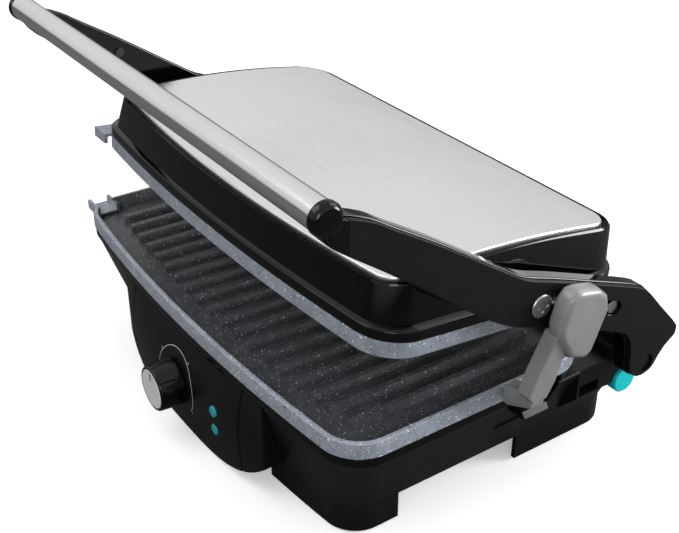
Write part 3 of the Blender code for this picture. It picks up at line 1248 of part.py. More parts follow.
def build():
    """Make every piece and hang it on the part's origin."""
    clear_scene()
    satin_black = material("satin_black", (0.030, 0.030, 0.032), 0.42)
    gloss_black = material("gloss_black", (0.012, 0.012, 0.013), 0.12)
    matt_black = material("matt_black", (0.020, 0.020, 0.021), 0.60)
    stone_coating = material("stone_coating", (0.33, 0.37, 0.43), 0.45)
    steel = material("brushed_steel", (0.62, 0.61, 0.60), 0.30, 1.0)
    zinc = material("zinc", (0.50, 0.50, 0.50), 0.35, 1.0)
    latch_grey = material("latch_grey", (0.22, 0.22, 0.225), 0.35)
    teal = material("teal", (0.02, 0.50, 0.52), 0.30)
    lamp_teal = material("lamp_teal", (0.04, 0.55, 0.55), 0.15)
    rubber = material("rubber", (0.02, 0.02, 0.02), 0.85)
    hinge = (BRACKET_OUTER_X, HINGE_Y, HINGE_Z)
    pivot = (BUSH_FLANGE_X, PIVOT_Y, PIVOT_Z)
    middle_hinge = (0, HINGE_Y, HINGE_Z)
    middle_pivot = (0, PIVOT_Y, PIVOT_Z)

    finish(make_base_housing(), satin_black)
    finish(make_bottom_cover(), satin_black)
    for number, centre in enumerate(foot_places(), start=1):
        finish(make_foot_pad("foot_pad_%d" % number, centre), rubber, (*centre, 0))
    finish(make_base_rim(), gloss_black)
    finish(make_plate("lower_plate", LOWER_SPOUT_SETBACK), stone_coating)
    finish(make_heater("lower_heating_element"), zinc)
    finish(make_tray("lower_reflector"), zinc)
    finish(make_control_panel(), satin_black)
    finish(make_lens("power_lens", POWER_LENS_Z), lamp_teal)
    finish(make_lens("ready_lens", READY_LENS_Z), lamp_teal)
    finish(make_lamp_carrier(), satin_black)
    finish(make_thermostat(), zinc)
    knob = (KNOB_X, knob_back_y(), KNOB_Z)
    finish(make_knob(), gloss_black, knob)
    finish(make_knob_cap(), steel, knob)
    finish(make_shaft(), zinc, knob)
    finish(make_gland(), satin_black)
    finish(make_terminal_block(), satin_black)
    bracket = make_hinge_bracket()
    plain_twin = mirrored(bracket, "hinge_bracket_left")
    finish(cut_button_bore(bracket), satin_black)
    finish(plain_twin, satin_black)
    finish(make_release_button(), teal, (BUTTON_FACE_X, BUTTON_Y, BUTTON_Z))
    finish(make_release_spring(), zinc)
    both_sides(make_hinge_hub(), zinc, hinge)
    finish(make_latch_catch(), satin_black)

    both_sides(make_arm(), gloss_black, hinge)
    both_sides(make_arm_cover(), matt_black, hinge)
    both_sides(make_arm_screw(), zinc, hinge)
    both_sides(make_slot_rivet(), zinc, hinge)
    both_sides(make_hinge_pin(), zinc, hinge)
    both_sides(make_pivot_screw(), zinc, hinge)
    finish(make_handle_tube(), steel, middle_hinge)
    finish(make_handle_core(), satin_black, middle_hinge)
    finish(make_latch_pin(), zinc, hinge)
    finish(make_latch(), latch_grey, (LATCH_INNER_X, LATCH_Y, LATCH_Z))

    both_sides(make_lid_bush(), zinc, pivot)
    finish(make_lid_housing(), gloss_black, middle_pivot)
    finish(make_lid_panel(), steel, middle_pivot)
    finish(make_upper_plate(), stone_coating, middle_pivot)
    finish(flip_to_lid(make_heater("upper_heating_element")), zinc, middle_pivot)
    finish(flip_to_lid(make_tray("upper_reflector")), zinc, middle_pivot)
    finish(make_thermal_fuse(), satin_black, middle_pivot)

    pieces = list(bpy.data.objects)
    back_reach = max((piece.matrix_world @ Vector(corner)).y for piece in pieces for corner in piece.bound_box)
    origin = bpy.data.objects.new("grill", None)
    bpy.context.collection.objects.link(origin)
    origin.location = (-CENTRE_X, -(FRONT_REACH_Y + back_reach) / 2, 0)
    for piece in pieces:
        piece.parent = origin


build()
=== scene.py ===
"""Looks of the contact grill: finer versions of its visible pieces, materials, floor, light and camera."""
import json
import math

import bmesh
import bpy
from mathutils import Matrix, Vector


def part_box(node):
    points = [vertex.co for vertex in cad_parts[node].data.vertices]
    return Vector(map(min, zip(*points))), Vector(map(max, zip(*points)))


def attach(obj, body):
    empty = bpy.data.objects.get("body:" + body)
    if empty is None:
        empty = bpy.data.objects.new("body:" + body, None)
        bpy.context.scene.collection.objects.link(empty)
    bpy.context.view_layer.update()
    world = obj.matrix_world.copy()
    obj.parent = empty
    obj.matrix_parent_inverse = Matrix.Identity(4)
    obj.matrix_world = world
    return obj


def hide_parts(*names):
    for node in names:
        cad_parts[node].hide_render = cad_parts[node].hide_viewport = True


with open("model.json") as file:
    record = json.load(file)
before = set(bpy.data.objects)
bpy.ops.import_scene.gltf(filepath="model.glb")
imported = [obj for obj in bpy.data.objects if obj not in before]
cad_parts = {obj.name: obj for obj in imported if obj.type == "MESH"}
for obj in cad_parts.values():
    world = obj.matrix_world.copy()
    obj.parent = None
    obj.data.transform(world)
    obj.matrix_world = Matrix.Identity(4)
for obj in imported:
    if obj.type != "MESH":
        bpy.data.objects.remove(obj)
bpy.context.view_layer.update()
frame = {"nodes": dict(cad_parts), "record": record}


# Fits
GAP = 0.0003             # between pieces that are fixed to each other
RUN = 0.0005             # radial play of a turning piece
OVERRUN = 0.003          # how far a cutter passes a face
WALL = 0.0025            # moulded wall
EDGE_ROUND = 0.0008      # small rounding of moulded edges

# Cooking plates: both have this outline
PLATE_HALF_X = 0.150
PLATE_FRONT_Y = -0.0989
PLATE_BACK_Y = 0.0576
FRONT_BOW = 0.0095
FRONT_CORNER = 0.0197
BACK_CORNER = 0.028
PLATE_RIM_Z = 0.0761
PLATE_BAND = 0.0086
PLATE_RIM_WIDTH = 0.0026
PLATE_WALL_LEAN = 0.0016
PLATE_FLOOR_DEPTH = 0.0075
PLATE_BODY_INSET = 0.006
PLATE_BODY_LEAN = 0.001
PLATE_BODY_DEPTH = 0.0023
RIB_COUNT = 19
RIB_HEIGHT = 0.0042
RIB_TOP_WIDTH = 0.0032
RIB_FOOT_WIDTH = 0.0056
RIB_MARGIN = 0.017
SPOUT_REACH = 0.006
SPOUT_WIDTH = 0.015
SPOUT_WALL = 0.002
SPOUT_FLOOR = 0.0036
SPOUT_RISE = 0.0018
LOWER_SPOUT_SETBACK = 0.0114
UPPER_SPOUT_SETBACK = 0.004

# Base housing
RIM_HEIGHT = 0.0052
RIM_WIDTH = 0.005
RIM_INSET = 0.0005
BASE_TOP_INSET = 0.001
BASE_DRAFT_Z = 0.0169
BASE_BOTTOM_Z = 0.0012
BASE_DRAFT = 0.020
BASE_FOOT_FRONT_Y = -0.0852
BASE_FOOT_FRONT_CORNER = 0.016
BASE_BACK_Y = 0.100
BASE_BACK_CORNER = 0.020
OPENING_INSET = 0.0055
SIDE_ARCH_FRONT_Y = -0.055
SIDE_ARCH_BACK_Y = 0.025
FRONT_LEG_WIDTH = 0.064
FRONT_ARCH_TOP_Z = 0.014
BACK_LEG_WIDTH = 0.035
BACK_ARCH_TOP_Z = 0.012

# Feet
FOOT_SETBACK_X = 0.018
FRONT_FOOT_SETBACK = 0.0152
BACK_FOOT_SETBACK = 0.022
FOOT_RADIUS = 0.009
FOOT_HEIGHT = 0.0035
FOOT_STUD_RADIUS = 0.0025
FOOT_STUD_HEIGHT = 0.003

# Control panel
PANEL_HALF_X = 0.080
PANEL_TOP_DROP = 0.0006
PANEL_BULGE = 0.0065
PANEL_BULGE_Z = 0.034
PANEL_FOOT_BULGE = 0.0035
PANEL_LOW_Z = 0.0015
PANEL_END_LOW_Z = 0.020
PANEL_BACK_Y = -0.0905
PANEL_WINDOW_HALF_X = 0.058
PANEL_WINDOW_LOW_Z = 0.018
PANEL_WINDOW_HIGH_Z = 0.052

# Knob, with its socket for the shaft, and the hole for the thermostat
KNOB_X = 0.0
KNOB_Z = 0.033
KNOB_RADIUS = 0.014
KNOB_FACE_RADIUS = 0.0132
KNOB_DEPTH = 0.0145
KNOB_STANDOFF = 0.0006
KNOB_CAP_RADIUS = 0.0115
KNOB_CAP_THICKNESS = 0.0012
KNOB_POCKET_RADIUS = 0.0102
KNOB_WEB = 0.003
KNOB_HUB_RADIUS = 0.006
SHAFT_RADIUS = 0.003
SHAFT_SOCKET_DEPTH = 0.007
THERMOSTAT_NECK_RADIUS = 0.0055

# Indicator lenses
LENS_X = 0.0415
POWER_LENS_Z = 0.037
READY_LENS_Z = 0.025
LENS_RADIUS = 0.0033
LENS_DEPTH = 0.003
LENS_PROUD = 0.0004

# Cord gland
GLAND_X = -0.060
GLAND_Z = 0.032
GLAND_RADIUS = 0.008
GLAND_FLANGE = 0.0022
GLAND_BORE = 0.0036
GLAND_DEPTH = 0.010
GLAND_FACE_INSET = 0.0004

# Hinge
HINGE_SETBACK = 0.0175
HINGE_DROP = 0.0002
BRACKET_SETBACK = 0.002
BRACKET_WIDTH = 0.026
BRACKET_FOOT_WIDTH = 0.014
BRACKET_FRONT_REACH = 0.0342
BRACKET_BACK_SETBACK = 0.0005
BRACKET_DEPTH = 0.0317
BRACKET_FULL_DEPTH = 0.0187
BRACKET_BOSS_RADIUS = 0.0125
BRACKET_SLOT_WIDTH = 0.014
BRACKET_SLOT_HEIGHT = 0.007
BRACKET_SLOT_DEPTH = 0.006
BRACKET_SLOT_REACH = 0.0255
BRACKET_SLOT_DROP = 0.0145
HUB_RADIUS = 0.0065
HUB_LENGTH = 0.016
HINGE_PIN_RADIUS = 0.0031
HINGE_HEAD_RADIUS = 0.005
BUTTON_SETBACK = 0.001
BUTTON_DROP = 0.019
BUTTON_RADIUS = 0.0078
BUTTON_PROUD = 0.002
BUTTON_LENGTH = 0.008
BUTTON_TRAVEL = 0.004
SPRING_WIRE = 0.0005
SPRING_LENGTH = 0.0034

# Yoke: arms and handle
HANDLE_Y = -0.118
HANDLE_Z = 0.206
HANDLE_END_SETBACK = 0.0008
HANDLE_RADIUS = 0.007
HANDLE_SHEET = 0.0008
HANDLE_WRAP = math.radians(250)
HANDLE_OPEN_TOWARDS = math.radians(-60)
CORE_SPIGOT_RADIUS = 0.0035
CORE_SPIGOT_LENGTH = 0.0024
ARM_PLAY = 0.0008
ARM_FRAME_THICKNESS = 0.008
ARM_COVER_THICKNESS = 0.0029
ARM_FRAME_LIP = 0.0008
ELBOW_WALL = 0.0006
ELBOW_DEPTH = 0.0052
ELBOW_ROUND = 0.003
ARM_SCREW_RADIUS = 0.0015
ARM_SLOT_LENGTH = 0.017
ARM_SLOT_WIDTH = 0.008
ARM_SLOT_ANGLE = math.radians(-21.7)
ARM_SLOT_RIVET_SETBACK = 0.0045
RIVET_RADIUS = 0.0028
RIVET_HEAD_RADIUS = 0.0036
RIVET_HEAD = 0.0012
# Places in the arm's side view, as shares of the way from the hinge to the handle: forward, then up
PIVOT_SHARES = (0.416, 0.453)
LATCH_PIN_SHARES = (0.374, 0.452)
ARM_SCREW_SHARES = (0.733, 0.755)
ARM_SLOT_SHARES = (0.172, 0.322)
ARM_OUTLINE_SHARES = (
    (1.002, 0.947), (0.995, 0.973), (0.982, 0.991), (0.959, 0.989), (0.894, 0.952), (0.832, 0.898),
    (0.728, 0.809), (0.615, 0.705), (0.524, 0.621), (0.460, 0.566), (0.362, 0.515), (0.223, 0.439),
    (0.073, 0.356), (0.030, 0.315), (-0.018, 0.242), (-0.104, 0.111), (-0.100, 0.073), (-0.072, 0.044),
    (-0.049, 0.008), (-0.028, -0.035), (0.008, -0.051), (0.040, -0.037), (0.060, 0.001), (0.067, 0.084),
    (0.078, 0.138), (0.106, 0.182), (0.192, 0.239), (0.401, 0.361), (0.508, 0.420), (0.603, 0.509),
    (0.721, 0.635), (0.802, 0.721), (0.867, 0.788), (0.952, 0.873), (0.987, 0.913))
ELBOW_SHARE = 0.955      # the cover starts behind this share of the reach

# Lid, measured in the plate's outline and upwards from the upper plate's rim
LID_TILT = math.radians(5.75)
PIVOT_PLATE_Y = -0.0197
PIVOT_HEIGHT = 0.0177
FLANGE_HEIGHT = 0.0051
LID_WALL_INSET = 0.005
LID_WALL_FRONT_INSET = 0.0025
LID_WALL_BACK_INSET = 0.001
LID_TOP_INSET = 0.0085
LID_TOP_FRONT_INSET = 0.006
LID_TOP_BACK_INSET = 0.0016
LID_RIM_INSET = 0.0100
LID_RIM_BACK_INSET = 0.0028
LID_CROWN_HEIGHT = 0.0395
LID_CROWN_Y = -0.013
LID_CROWN_RADIUS = 0.5556
LID_RIM_DROP = 0.0008
LID_SIDE_DROP = 0.0022
PANEL_RECESS = 0.0036
PANEL_PLAY = 0.0026
LID_ROOF_HEIGHT = 0.0270
PIVOT_BOSS_RADIUS = 0.0085
PIVOT_BOSS_LENGTH = 0.008
BUSH_RADIUS = 0.006
BUSH_FLANGE_RADIUS = 0.0074
BUSH_LENGTH = 0.0087
BUSH_SETBACK = 0.0038
PIVOT_SCREW_RADIUS = 0.003
PIVOT_HEAD_RADIUS = 0.006
PIVOT_HEAD = 0.0013
CROSS_WIDTH = 0.0016
CROSS_LENGTH = 0.0066
CROSS_DEPTH = 0.0007

# Latch and its catch
LATCH_STANDOFF = 0.0022
LATCH_THICKNESS = 0.0108
LEG_STANDOFF = 0.0012
LEG_THICKNESS = 0.0088
LATCH_PIN_RADIUS = 0.0024
LATCH_PIN_COVER = 0.0015
HOOK_TIP_PLAY = 0.002
HOOK_LIP = 0.004
PADDLE_WIDTH = 0.034
PADDLE_HEIGHT = 0.042
# Paddle and leg in side view, from the latch's pin, as shares of the paddle's width and height
PADDLE_SHARES = (
    (0.06, 0.24), (0.24, 0.21), (0.50, 0.16), (0.68, 0.03), (0.74, -0.16), (0.50, -0.66), (0.38, -0.75),
    (0.06, -0.64), (-0.16, -0.34), (-0.19, -0.18), (-0.08, 0.12))
LEG_SHARES = (
    (0.10, -0.30), (0.02, -0.60), (-0.10, -0.92), (-0.24, -1.12), (-0.50, -1.12), (-0.58, -1.02),
    (-0.44, -0.74), (-0.16, -0.30))
FOOT_SHARES = (-0.52, -0.26)
FOOT_HEIGHT_SHARES = (-1.36, -1.19, -1.04, -1.12)
CATCH_FRONT_Y = 0.0035
CATCH_BACK_Y = 0.020
CATCH_OVERLAP = 0.0035
CATCH_LOW_DROP = 0.0087
CATCH_HIGH_DROP = 0.0042
CATCH_PLATE_SETBACK = 0.0013
CATCH_WINDOW_FRONT_Y = -0.003
CATCH_WINDOW_BACK_Y = 0.033
CATCH_WINDOW_DEPTH = 0.0217

# Counts
ARC_STEPS = 9
FRONT_STEPS = 12
SIDE_STEPS = 10
ROUND_SIDES = 48
SMALL_SIDES = 28

# Finer detail of the looks
CURVE_STEPS = 3
BEVEL_STEPS = 3
BEVEL_ANGLE = math.radians(40)
FINE_ANGLE = math.radians(30)
SMOOTH_ANGLE = math.radians(48)
NORMAL_WEIGHT = 100
PANEL_COLUMNS = 24
PANEL_ROWS = 18
GROOVE_X = 0.063
GROOVE_WIDTH = 0.0008
GROOVE_DEPTH = 0.0008
GROOVE_CORE_SHARE = 0.7
PRINT_LIFT = 0.00012
PRINT_WIDTH = 0.0005
SCALE_RADIUS = 0.0200
SCALE_START = math.radians(235)
SCALE_END = math.radians(-35)
SCALE_STEPS = 40
SCALE_TICKS = 3
TICK_LENGTH = 0.0022
MARK_WIDTH = 0.0009
MARK_START = 0.0055
RIM_EDGE_SHARE = 0.98
PADDLE_SOFTNESS = 0.0034
# Fasteners that sit in the arms' recesses get zinc painted dark: painted shade of their recesses
RECESS_SHADE_FASTENERS = ("hinge_pin", "arm_screw")

# Grain of the materials: scales, depths and where the noise's middle starts and ends
NOISE_LOW = 0.3
NOISE_HIGH = 0.7
MOTTLE_SCALE = 22
MOTTLE_SHADES = (0.85, 1.2)
GLOSS_SCALE = 60
METAL_SCALE = 9
METAL_TONES = (0.6, 1.4)
METAL_SHADES = (0.93, 1.05)
MOULDED_BUMP = 0.0002
FINE_BUMP = 0.0001
STONE_SCALE = 120
STONE_TONES = (0.35, 0.65)
STONE_SHADES = (0.88, 1.10)
STONE_GRAIN = 900
STONE_DEPTH = 0.15
STONE_SPREAD = 0.06
# Dark and pale flecks: scale of their noise, and the level below which it makes a fleck
FLECKS = ((1150, 0.250), (950, 0.242))

# Camera, floor and light
PICTURE_WIDTH = 679
FOCAL_PIXELS = 1086.333
SENSOR_WIDTH = 36
CAMERA_PLACE = (0.452786, -0.305076, 0.395733)
CAMERA_YAW = 0.972734
CAMERA_PITCH = 0.530296
CLIP_START = 0.01
FLOOR_HALF = 6.0
FLOOR_DROP = 0.0002
FLOOR_SCALE = 3
FLOOR_PALE = (0.93, 0.95)
FLOOR_UNSEEN = (0.11, 0.11, 0.11)
FLOOR_GLOW = (0.30, 0.30, 0.30)
FLOOR_ROUGHNESS = 0.8
FLOOR_GLOSS = 0.1
WORLD_LEVEL = 0.95
BACKDROP_LEVEL = 1.1
# The room's light by height: place on the way from the horizon to straight up, and grey
ROOM_LEVELS = ((0.0, 0.10), (0.06, 0.66), (0.6, 0.80))
LIGHT_AIM = (0, 0, 0.1)
# Soft lights: place, half size, power in watts
SOFT_LIGHTS = (
    ("key_light", (-0.5, -0.9, 1.5), 0.55, 9.0),
    ("fill_light", (1.2, -0.9, 0.7), 0.30, 5.0),
    ("rim_light", (0.2, 1.3, 1.2), 0.45, 6.0),
    ("back_light", (0.7, 1.0, 0.35), 0.25, 14.0),
)

# Derived places
PLATE_BAND_Z = PLATE_RIM_Z - PLATE_BAND
RIM_TOP_Z = PLATE_BAND_Z - GAP
RIM_LOW_Z = RIM_TOP_Z - RIM_HEIGHT
BASE_TOP_Z = RIM_LOW_Z - GAP
PANEL_TOP_Z = BASE_TOP_Z - PANEL_TOP_DROP


def base_rise(height):
    """How far up the base's drafted wall a height is, from 0 at its foot to 1 at the deck."""
    return max(0, (height - BASE_DRAFT_Z) / (BASE_TOP_Z - BASE_DRAFT_Z))


def base_half_x(height):
    """Half width of the base's outer wall at a height."""
    return PLATE_HALF_X - BASE_DRAFT + (BASE_DRAFT - BASE_TOP_INSET) * base_rise(height)


BASE_FOOT_HALF_X = PLATE_HALF_X - BASE_DRAFT
FRONT_ARCH_HALF_X = BASE_FOOT_HALF_X - FRONT_LEG_WIDTH
BACK_ARCH_HALF_X = BASE_FOOT_HALF_X - BACK_LEG_WIDTH
FOOT_X = BASE_FOOT_HALF_X - FOOT_SETBACK_X
FRONT_FOOT_Y = BASE_FOOT_FRONT_Y + FRONT_FOOT_SETBACK
BACK_FOOT_Y = BASE_BACK_Y - BACK_FOOT_SETBACK
HINGE_Y = BASE_BACK_Y - HINGE_SETBACK
HINGE_Z = BASE_TOP_Z - HINGE_DROP
HINGE_AXIS = (HINGE_Y, HINGE_Z)
BRACKET_OUTER_X = PLATE_HALF_X - BRACKET_SETBACK
BRACKET_INNER_X = BRACKET_OUTER_X - BRACKET_WIDTH
BRACKET_LOW_X = BRACKET_INNER_X + BRACKET_FOOT_WIDTH
BRACKET_FRONT_Y = HINGE_Y - BRACKET_FRONT_REACH
BRACKET_BACK_Y = BASE_BACK_Y - BRACKET_BACK_SETBACK
BRACKET_LOW_Z = BASE_TOP_Z - BRACKET_DEPTH
BRACKET_FULL_Z = BASE_TOP_Z - BRACKET_FULL_DEPTH
BRACKET_SLOT_Y = HINGE_Y - BRACKET_SLOT_REACH
BRACKET_SLOT_Z = HINGE_Z - BRACKET_SLOT_DROP
BUTTON_AXIS = (HINGE_Y + BUTTON_SETBACK, HINGE_Z - BUTTON_DROP)
BUTTON_FACE_X = BRACKET_OUTER_X + BUTTON_PROUD
ARM_INNER_X = PLATE_HALF_X + ARM_PLAY
HANDLE_AXIS = (HANDLE_Y, HANDLE_Z)
ARM_REACH = HINGE_Y - HANDLE_Y
ARM_RISE = HANDLE_Z - HINGE_Z
ARM_FRAME_X = ARM_INNER_X + ARM_FRAME_THICKNESS
ARM_COVER_INNER_X = ARM_FRAME_X + GAP
ARM_OUTER_X = ARM_COVER_INNER_X + ARM_COVER_THICKNESS
HANDLE_HALF_X = ARM_FRAME_X - HANDLE_END_SETBACK
ELBOW_INNER_X = HANDLE_HALF_X + GAP
ELBOW_OUTER_X = ELBOW_INNER_X + ELBOW_DEPTH
BUSH_FLANGE_X = PLATE_HALF_X - BUSH_SETBACK
BUSH_INNER_X = BUSH_FLANGE_X - BUSH_LENGTH
LATCH_INNER_X = ARM_OUTER_X + LATCH_STANDOFF
LATCH_OUTER_X = LATCH_INNER_X + LATCH_THICKNESS
LEG_INNER_X = ARM_OUTER_X + LEG_STANDOFF
LEG_OUTER_X = LEG_INNER_X + LEG_THICKNESS
LATCH_PIN_END_X = LATCH_OUTER_X - LATCH_PIN_COVER
FOOT_TIP_X = PLATE_HALF_X + HOOK_TIP_PLAY
FOOT_LIP_X = FOOT_TIP_X + HOOK_LIP
CATCH_REACH_X = FOOT_TIP_X + CATCH_OVERLAP
CATCH_LOW_Z = BASE_TOP_Z - CATCH_LOW_DROP
CATCH_HIGH_Z = BASE_TOP_Z - CATCH_HIGH_DROP
CATCH_WINDOW_LOW_Z = BASE_TOP_Z - CATCH_WINDOW_DEPTH
CATCH_WINDOW_HIGH_Z = BASE_TOP_Z - WALL
CATCH_PLATE_X = base_half_x(CATCH_WINDOW_LOW_Z) - CATCH_PLATE_SETBACK
FRONT_REACH_Y = HANDLE_Y - HANDLE_RADIUS


def arm_place(shares):
    """Side-view place (y, z) from its shares of the arm's reach and rise."""
    forward, up = shares
    return HINGE_Y - forward * ARM_REACH, HINGE_Z + up * ARM_RISE


PIVOT_AXIS = arm_place(PIVOT_SHARES)
LATCH_AXIS = arm_place(LATCH_PIN_SHARES)
SCREW_AXIS = arm_place(ARM_SCREW_SHARES)


# Points and outlines

def outline(inset=0, half_x=PLATE_HALF_X, front_y=PLATE_FRONT_Y, back_y=PLATE_BACK_Y,
            front_corner=FRONT_CORNER, back_corner=BACK_CORNER):
    """Rounded outline with a bowed front, from the front's middle round by +X; mirrored in X."""
    half = half_x - inset
    front = front_y + inset
    back = back_y - inset
    front_radius = max(front_corner - inset, EDGE_ROUND)
    back_radius = max(back_corner - inset, EDGE_ROUND)
    turns = [math.pi / 2 * step / ARC_STEPS for step in range(ARC_STEPS + 1)]
    right = [((half - front_radius) * step / FRONT_STEPS, front) for step in range(FRONT_STEPS)]
    right += [(half - front_radius + front_radius * math.sin(turn),
               front + front_radius - front_radius * math.cos(turn)) for turn in turns]
    right = [(x, y - FRONT_BOW * (1 - (x / half) ** 2)) for x, y in right]
    side_start = front + front_radius
    side_length = back - back_radius - side_start
    right += [(half, side_start + side_length * step / SIDE_STEPS) for step in range(1, SIDE_STEPS)]
    right += [(half - back_radius + back_radius * math.cos(turn),
               back - back_radius + back_radius * math.sin(turn)) for turn in turns]
    return right + [(-x, y) for x, y in reversed(right[1:])]


def at_height(points, height):
    """Ring of 3-D points; the height may be a length or a function of y."""
    if callable(height):
        return [Vector((x, y, height(y))) for x, y in points]
    return [Vector((x, y, height)) for x, y in points]


def level(inset, height):
    """Ring of the plates' outline, moved in by the inset."""
    return at_height(outline(inset), height)


def circle(radius, sides, centre):
    """Points of a circle in a plane."""
    turns = [2 * math.pi * side / sides for side in range(sides)]
    return [(centre[0] + radius * math.cos(turn), centre[1] + radius * math.sin(turn)) for turn in turns]


def inset_polygon(points, distance):
    """Polygon moved inwards, for points that run anticlockwise; a negative distance grows it."""
    moved = []
    for index, point in enumerate(points):
        here = Vector(point)
        before = (here - Vector(points[index - 1])).normalized()
        after = (Vector(points[(index + 1) % len(points)]) - here).normalized()
        normal_before = Vector((-before.y, before.x))
        normal_after = Vector((-after.y, after.x))
        shift = (normal_before + normal_after) / (1 + normal_before.dot(normal_after))
        moved.append(tuple(here + shift * distance))
    return moved


def anticlockwise(points):
    """The same polygon, running anticlockwise."""
    area = 0
    for index, (x, y) in enumerate(points):
        before_x, before_y = points[index - 1]
        area += before_x * y - x * before_y
    return list(points) if area > 0 else list(reversed(points))


def smooth_outline(points, steps):
    """Closed curve through the points of a polygon."""
    count = len(points)
    curve = []
    for index in range(count):
        before, start, end, after = (Vector(points[(index + offset) % count]) for offset in (-1, 0, 1, 2))
        for step in range(steps):
            t = step / steps
            curve.append(tuple(0.5 * (2 * start + (end - before) * t
                                      + (2 * before - 5 * start + 4 * end - after) * t ** 2
                                      + (3 * start - before - 3 * end + after) * t ** 3)))
    return curve


# Solids

def new_piece(name, mesh):
    """Object in the scene that holds a mesh."""
    piece = bpy.data.objects.new(name, mesh)
    bpy.context.collection.objects.link(piece)
    return piece


def solid(name, vertices, faces):
    """Object from points and faces, with its faces pointing out."""
    mesh = bpy.data.meshes.new(name)
    mesh.from_pydata([tuple(vertex) for vertex in vertices], [], faces)
    made = bmesh.new()
    made.from_mesh(mesh)
    bmesh.ops.recalc_face_normals(made, faces=made.faces)
    made.to_mesh(mesh)
    made.free()
    return new_piece(name, mesh)


def skin(name, rings, ends="strips"):
    """Skin through rings of points. Strips across X or a flat face close each end, or the ends are joined."""
    count = len(rings[0])
    vertices = [point for ring in rings for point in ring]
    faces = []
    spans = len(rings) if ends == "joined" else len(rings) - 1
    for span in range(spans):
        low = span * count
        high = (span + 1) % len(rings) * count
        for index in range(count):
            after = (index + 1) % count
            faces.append((low + index, low + after, high + after, high + index))
    for start in (0, (len(rings) - 1) * count):
        if ends == "flat":
            faces.append(tuple(range(start, start + count)))
        if ends == "strips":
            last = start + count
            faces.append((start, start + 1, last - 1))
            for index in range(1, count // 2):
                faces.append((start + index, start + index + 1, last - index - 1, last - index))
    return solid(name, vertices, faces)


def place(axis, point, along):
    """3-D point from a flat point, which holds the other two coordinates, and a distance along an axis."""
    first, second = point
    if axis == "X":
        return Vector((along, first, second))
    if axis == "Y":
        return Vector((first, along, second))
    return Vector((first, second, along))


def prism(name, points, axis, low, high):
    """Flat outline pushed along X, Y or Z; the outline holds the other two coordinates in order."""
    return skin(name, [[place(axis, point, along) for point in points] for along in (low, high)], "flat")


def box(low, high, name="tool"):
    """Box between two corners."""
    points = ((low[0], low[1]), (high[0], low[1]), (high[0], high[1]), (low[0], high[1]))
    return prism(name, points, "Z", low[2], high[2])


def side_boxes(low, high):
    """A box and its twin on the other side of X = 0."""
    return box(low, high), box((-high[0], *low[1:]), (-low[0], *high[1:]))


def turned(name, axis, centre, profile, sides=ROUND_SIDES, ends="flat"):
    """Round solid from (radius, distance along the axis) pairs; centre holds the other two coordinates."""
    rings = [[place(axis, point, along) for point in circle(radius, sides, centre)]
             for radius, along in profile]
    return skin(name, rings, ends)


def cylinder(axis, centre, radius, low, high, sides=ROUND_SIDES):
    """Plain round bar."""
    return turned("tool", axis, centre, ((radius, low), (radius, high)), sides)


def small_bar(centre, radius, low, high):
    """Plain bar along X with fewer sides."""
    return cylinder("X", centre, radius, low, high, SMALL_SIDES)


def settle(piece):
    """Replace the mesh by the one that the piece's modifiers give."""
    graph = bpy.context.evaluated_depsgraph_get()
    graph.update()
    mesh = bpy.data.meshes.new_from_object(piece.evaluated_get(graph))
    piece.modifiers.clear()
    old = piece.data
    piece.data = mesh
    bpy.data.meshes.remove(old)


def combine(piece, others, operation):
    """Cut or join other solids into a piece; the others are used up."""
    for other in others:
        change = piece.modifiers.new(operation, "BOOLEAN")
        change.operation = operation
        change.solver = "EXACT"
        change.object = other
        settle(piece)
        bpy.data.objects.remove(other)
    return piece


def cut(piece, *cutters):
    return combine(piece, cutters, "DIFFERENCE")


def join(piece, *others):
    return combine(piece, others, "UNION")


def bevelled(piece, width=EDGE_ROUND, angle=BEVEL_ANGLE):
    """Round the edges that are sharper than an angle."""
    rounding = piece.modifiers.new("rounding", "BEVEL")
    rounding.width = width
    rounding.segments = BEVEL_STEPS
    rounding.limit_method = "ANGLE"
    rounding.angle_limit = angle
    settle(piece)
    return piece


def plain_name(piece):
    """Name of a piece without the number that a name in use gets."""
    return piece.name.split(".")[0]


def mirrored(piece, name):
    """The same piece on the other side of X = 0."""
    mesh = piece.data.copy()
    mesh.transform(Matrix.Scale(-1, 4, Vector((1, 0, 0))))
    mesh.flip_normals()
    return new_piece(name, mesh)


# Lid placing

def lid_point(point):
    """Place of a point given in the plate's outline and by its height over the upper plate's rim."""
    along = point.y - PIVOT_PLATE_Y
    up = point.z - PIVOT_HEIGHT
    cosine = math.cos(LID_TILT)
    sine = math.sin(LID_TILT)
    return Vector((point.x, PIVOT_AXIS[0] + cosine * along + sine * up,
                   PIVOT_AXIS[1] - sine * along + cosine * up))


def place_on_lid(piece):
    """Move a piece made in the lid's own frame to its tilted place."""
    for vertex in piece.data.vertices:
        vertex.co = lid_point(vertex.co)
    return piece


def flip_to_lid(piece):
    """Turn a piece made for the lower plate over, so that heights run up from the upper plate's rim."""
    for vertex in piece.data.vertices:
        vertex.co.z = PLATE_RIM_Z - vertex.co.z
    piece.data.flip_normals()
    return place_on_lid(piece)


# Base, as in the CAD but finer

def base_ring(inset, height):
    """Outline of the base's outer wall at a height between the feet and the deck."""
    rise = base_rise(height)
    front_y = BASE_FOOT_FRONT_Y + (PLATE_FRONT_Y + BASE_TOP_INSET - BASE_FOOT_FRONT_Y) * rise
    front_corner = BASE_FOOT_FRONT_CORNER + (FRONT_CORNER - BASE_FOOT_FRONT_CORNER) * rise
    points = outline(inset, base_half_x(height), front_y, BASE_BACK_Y, front_corner, BASE_BACK_CORNER)
    return at_height(points, height)


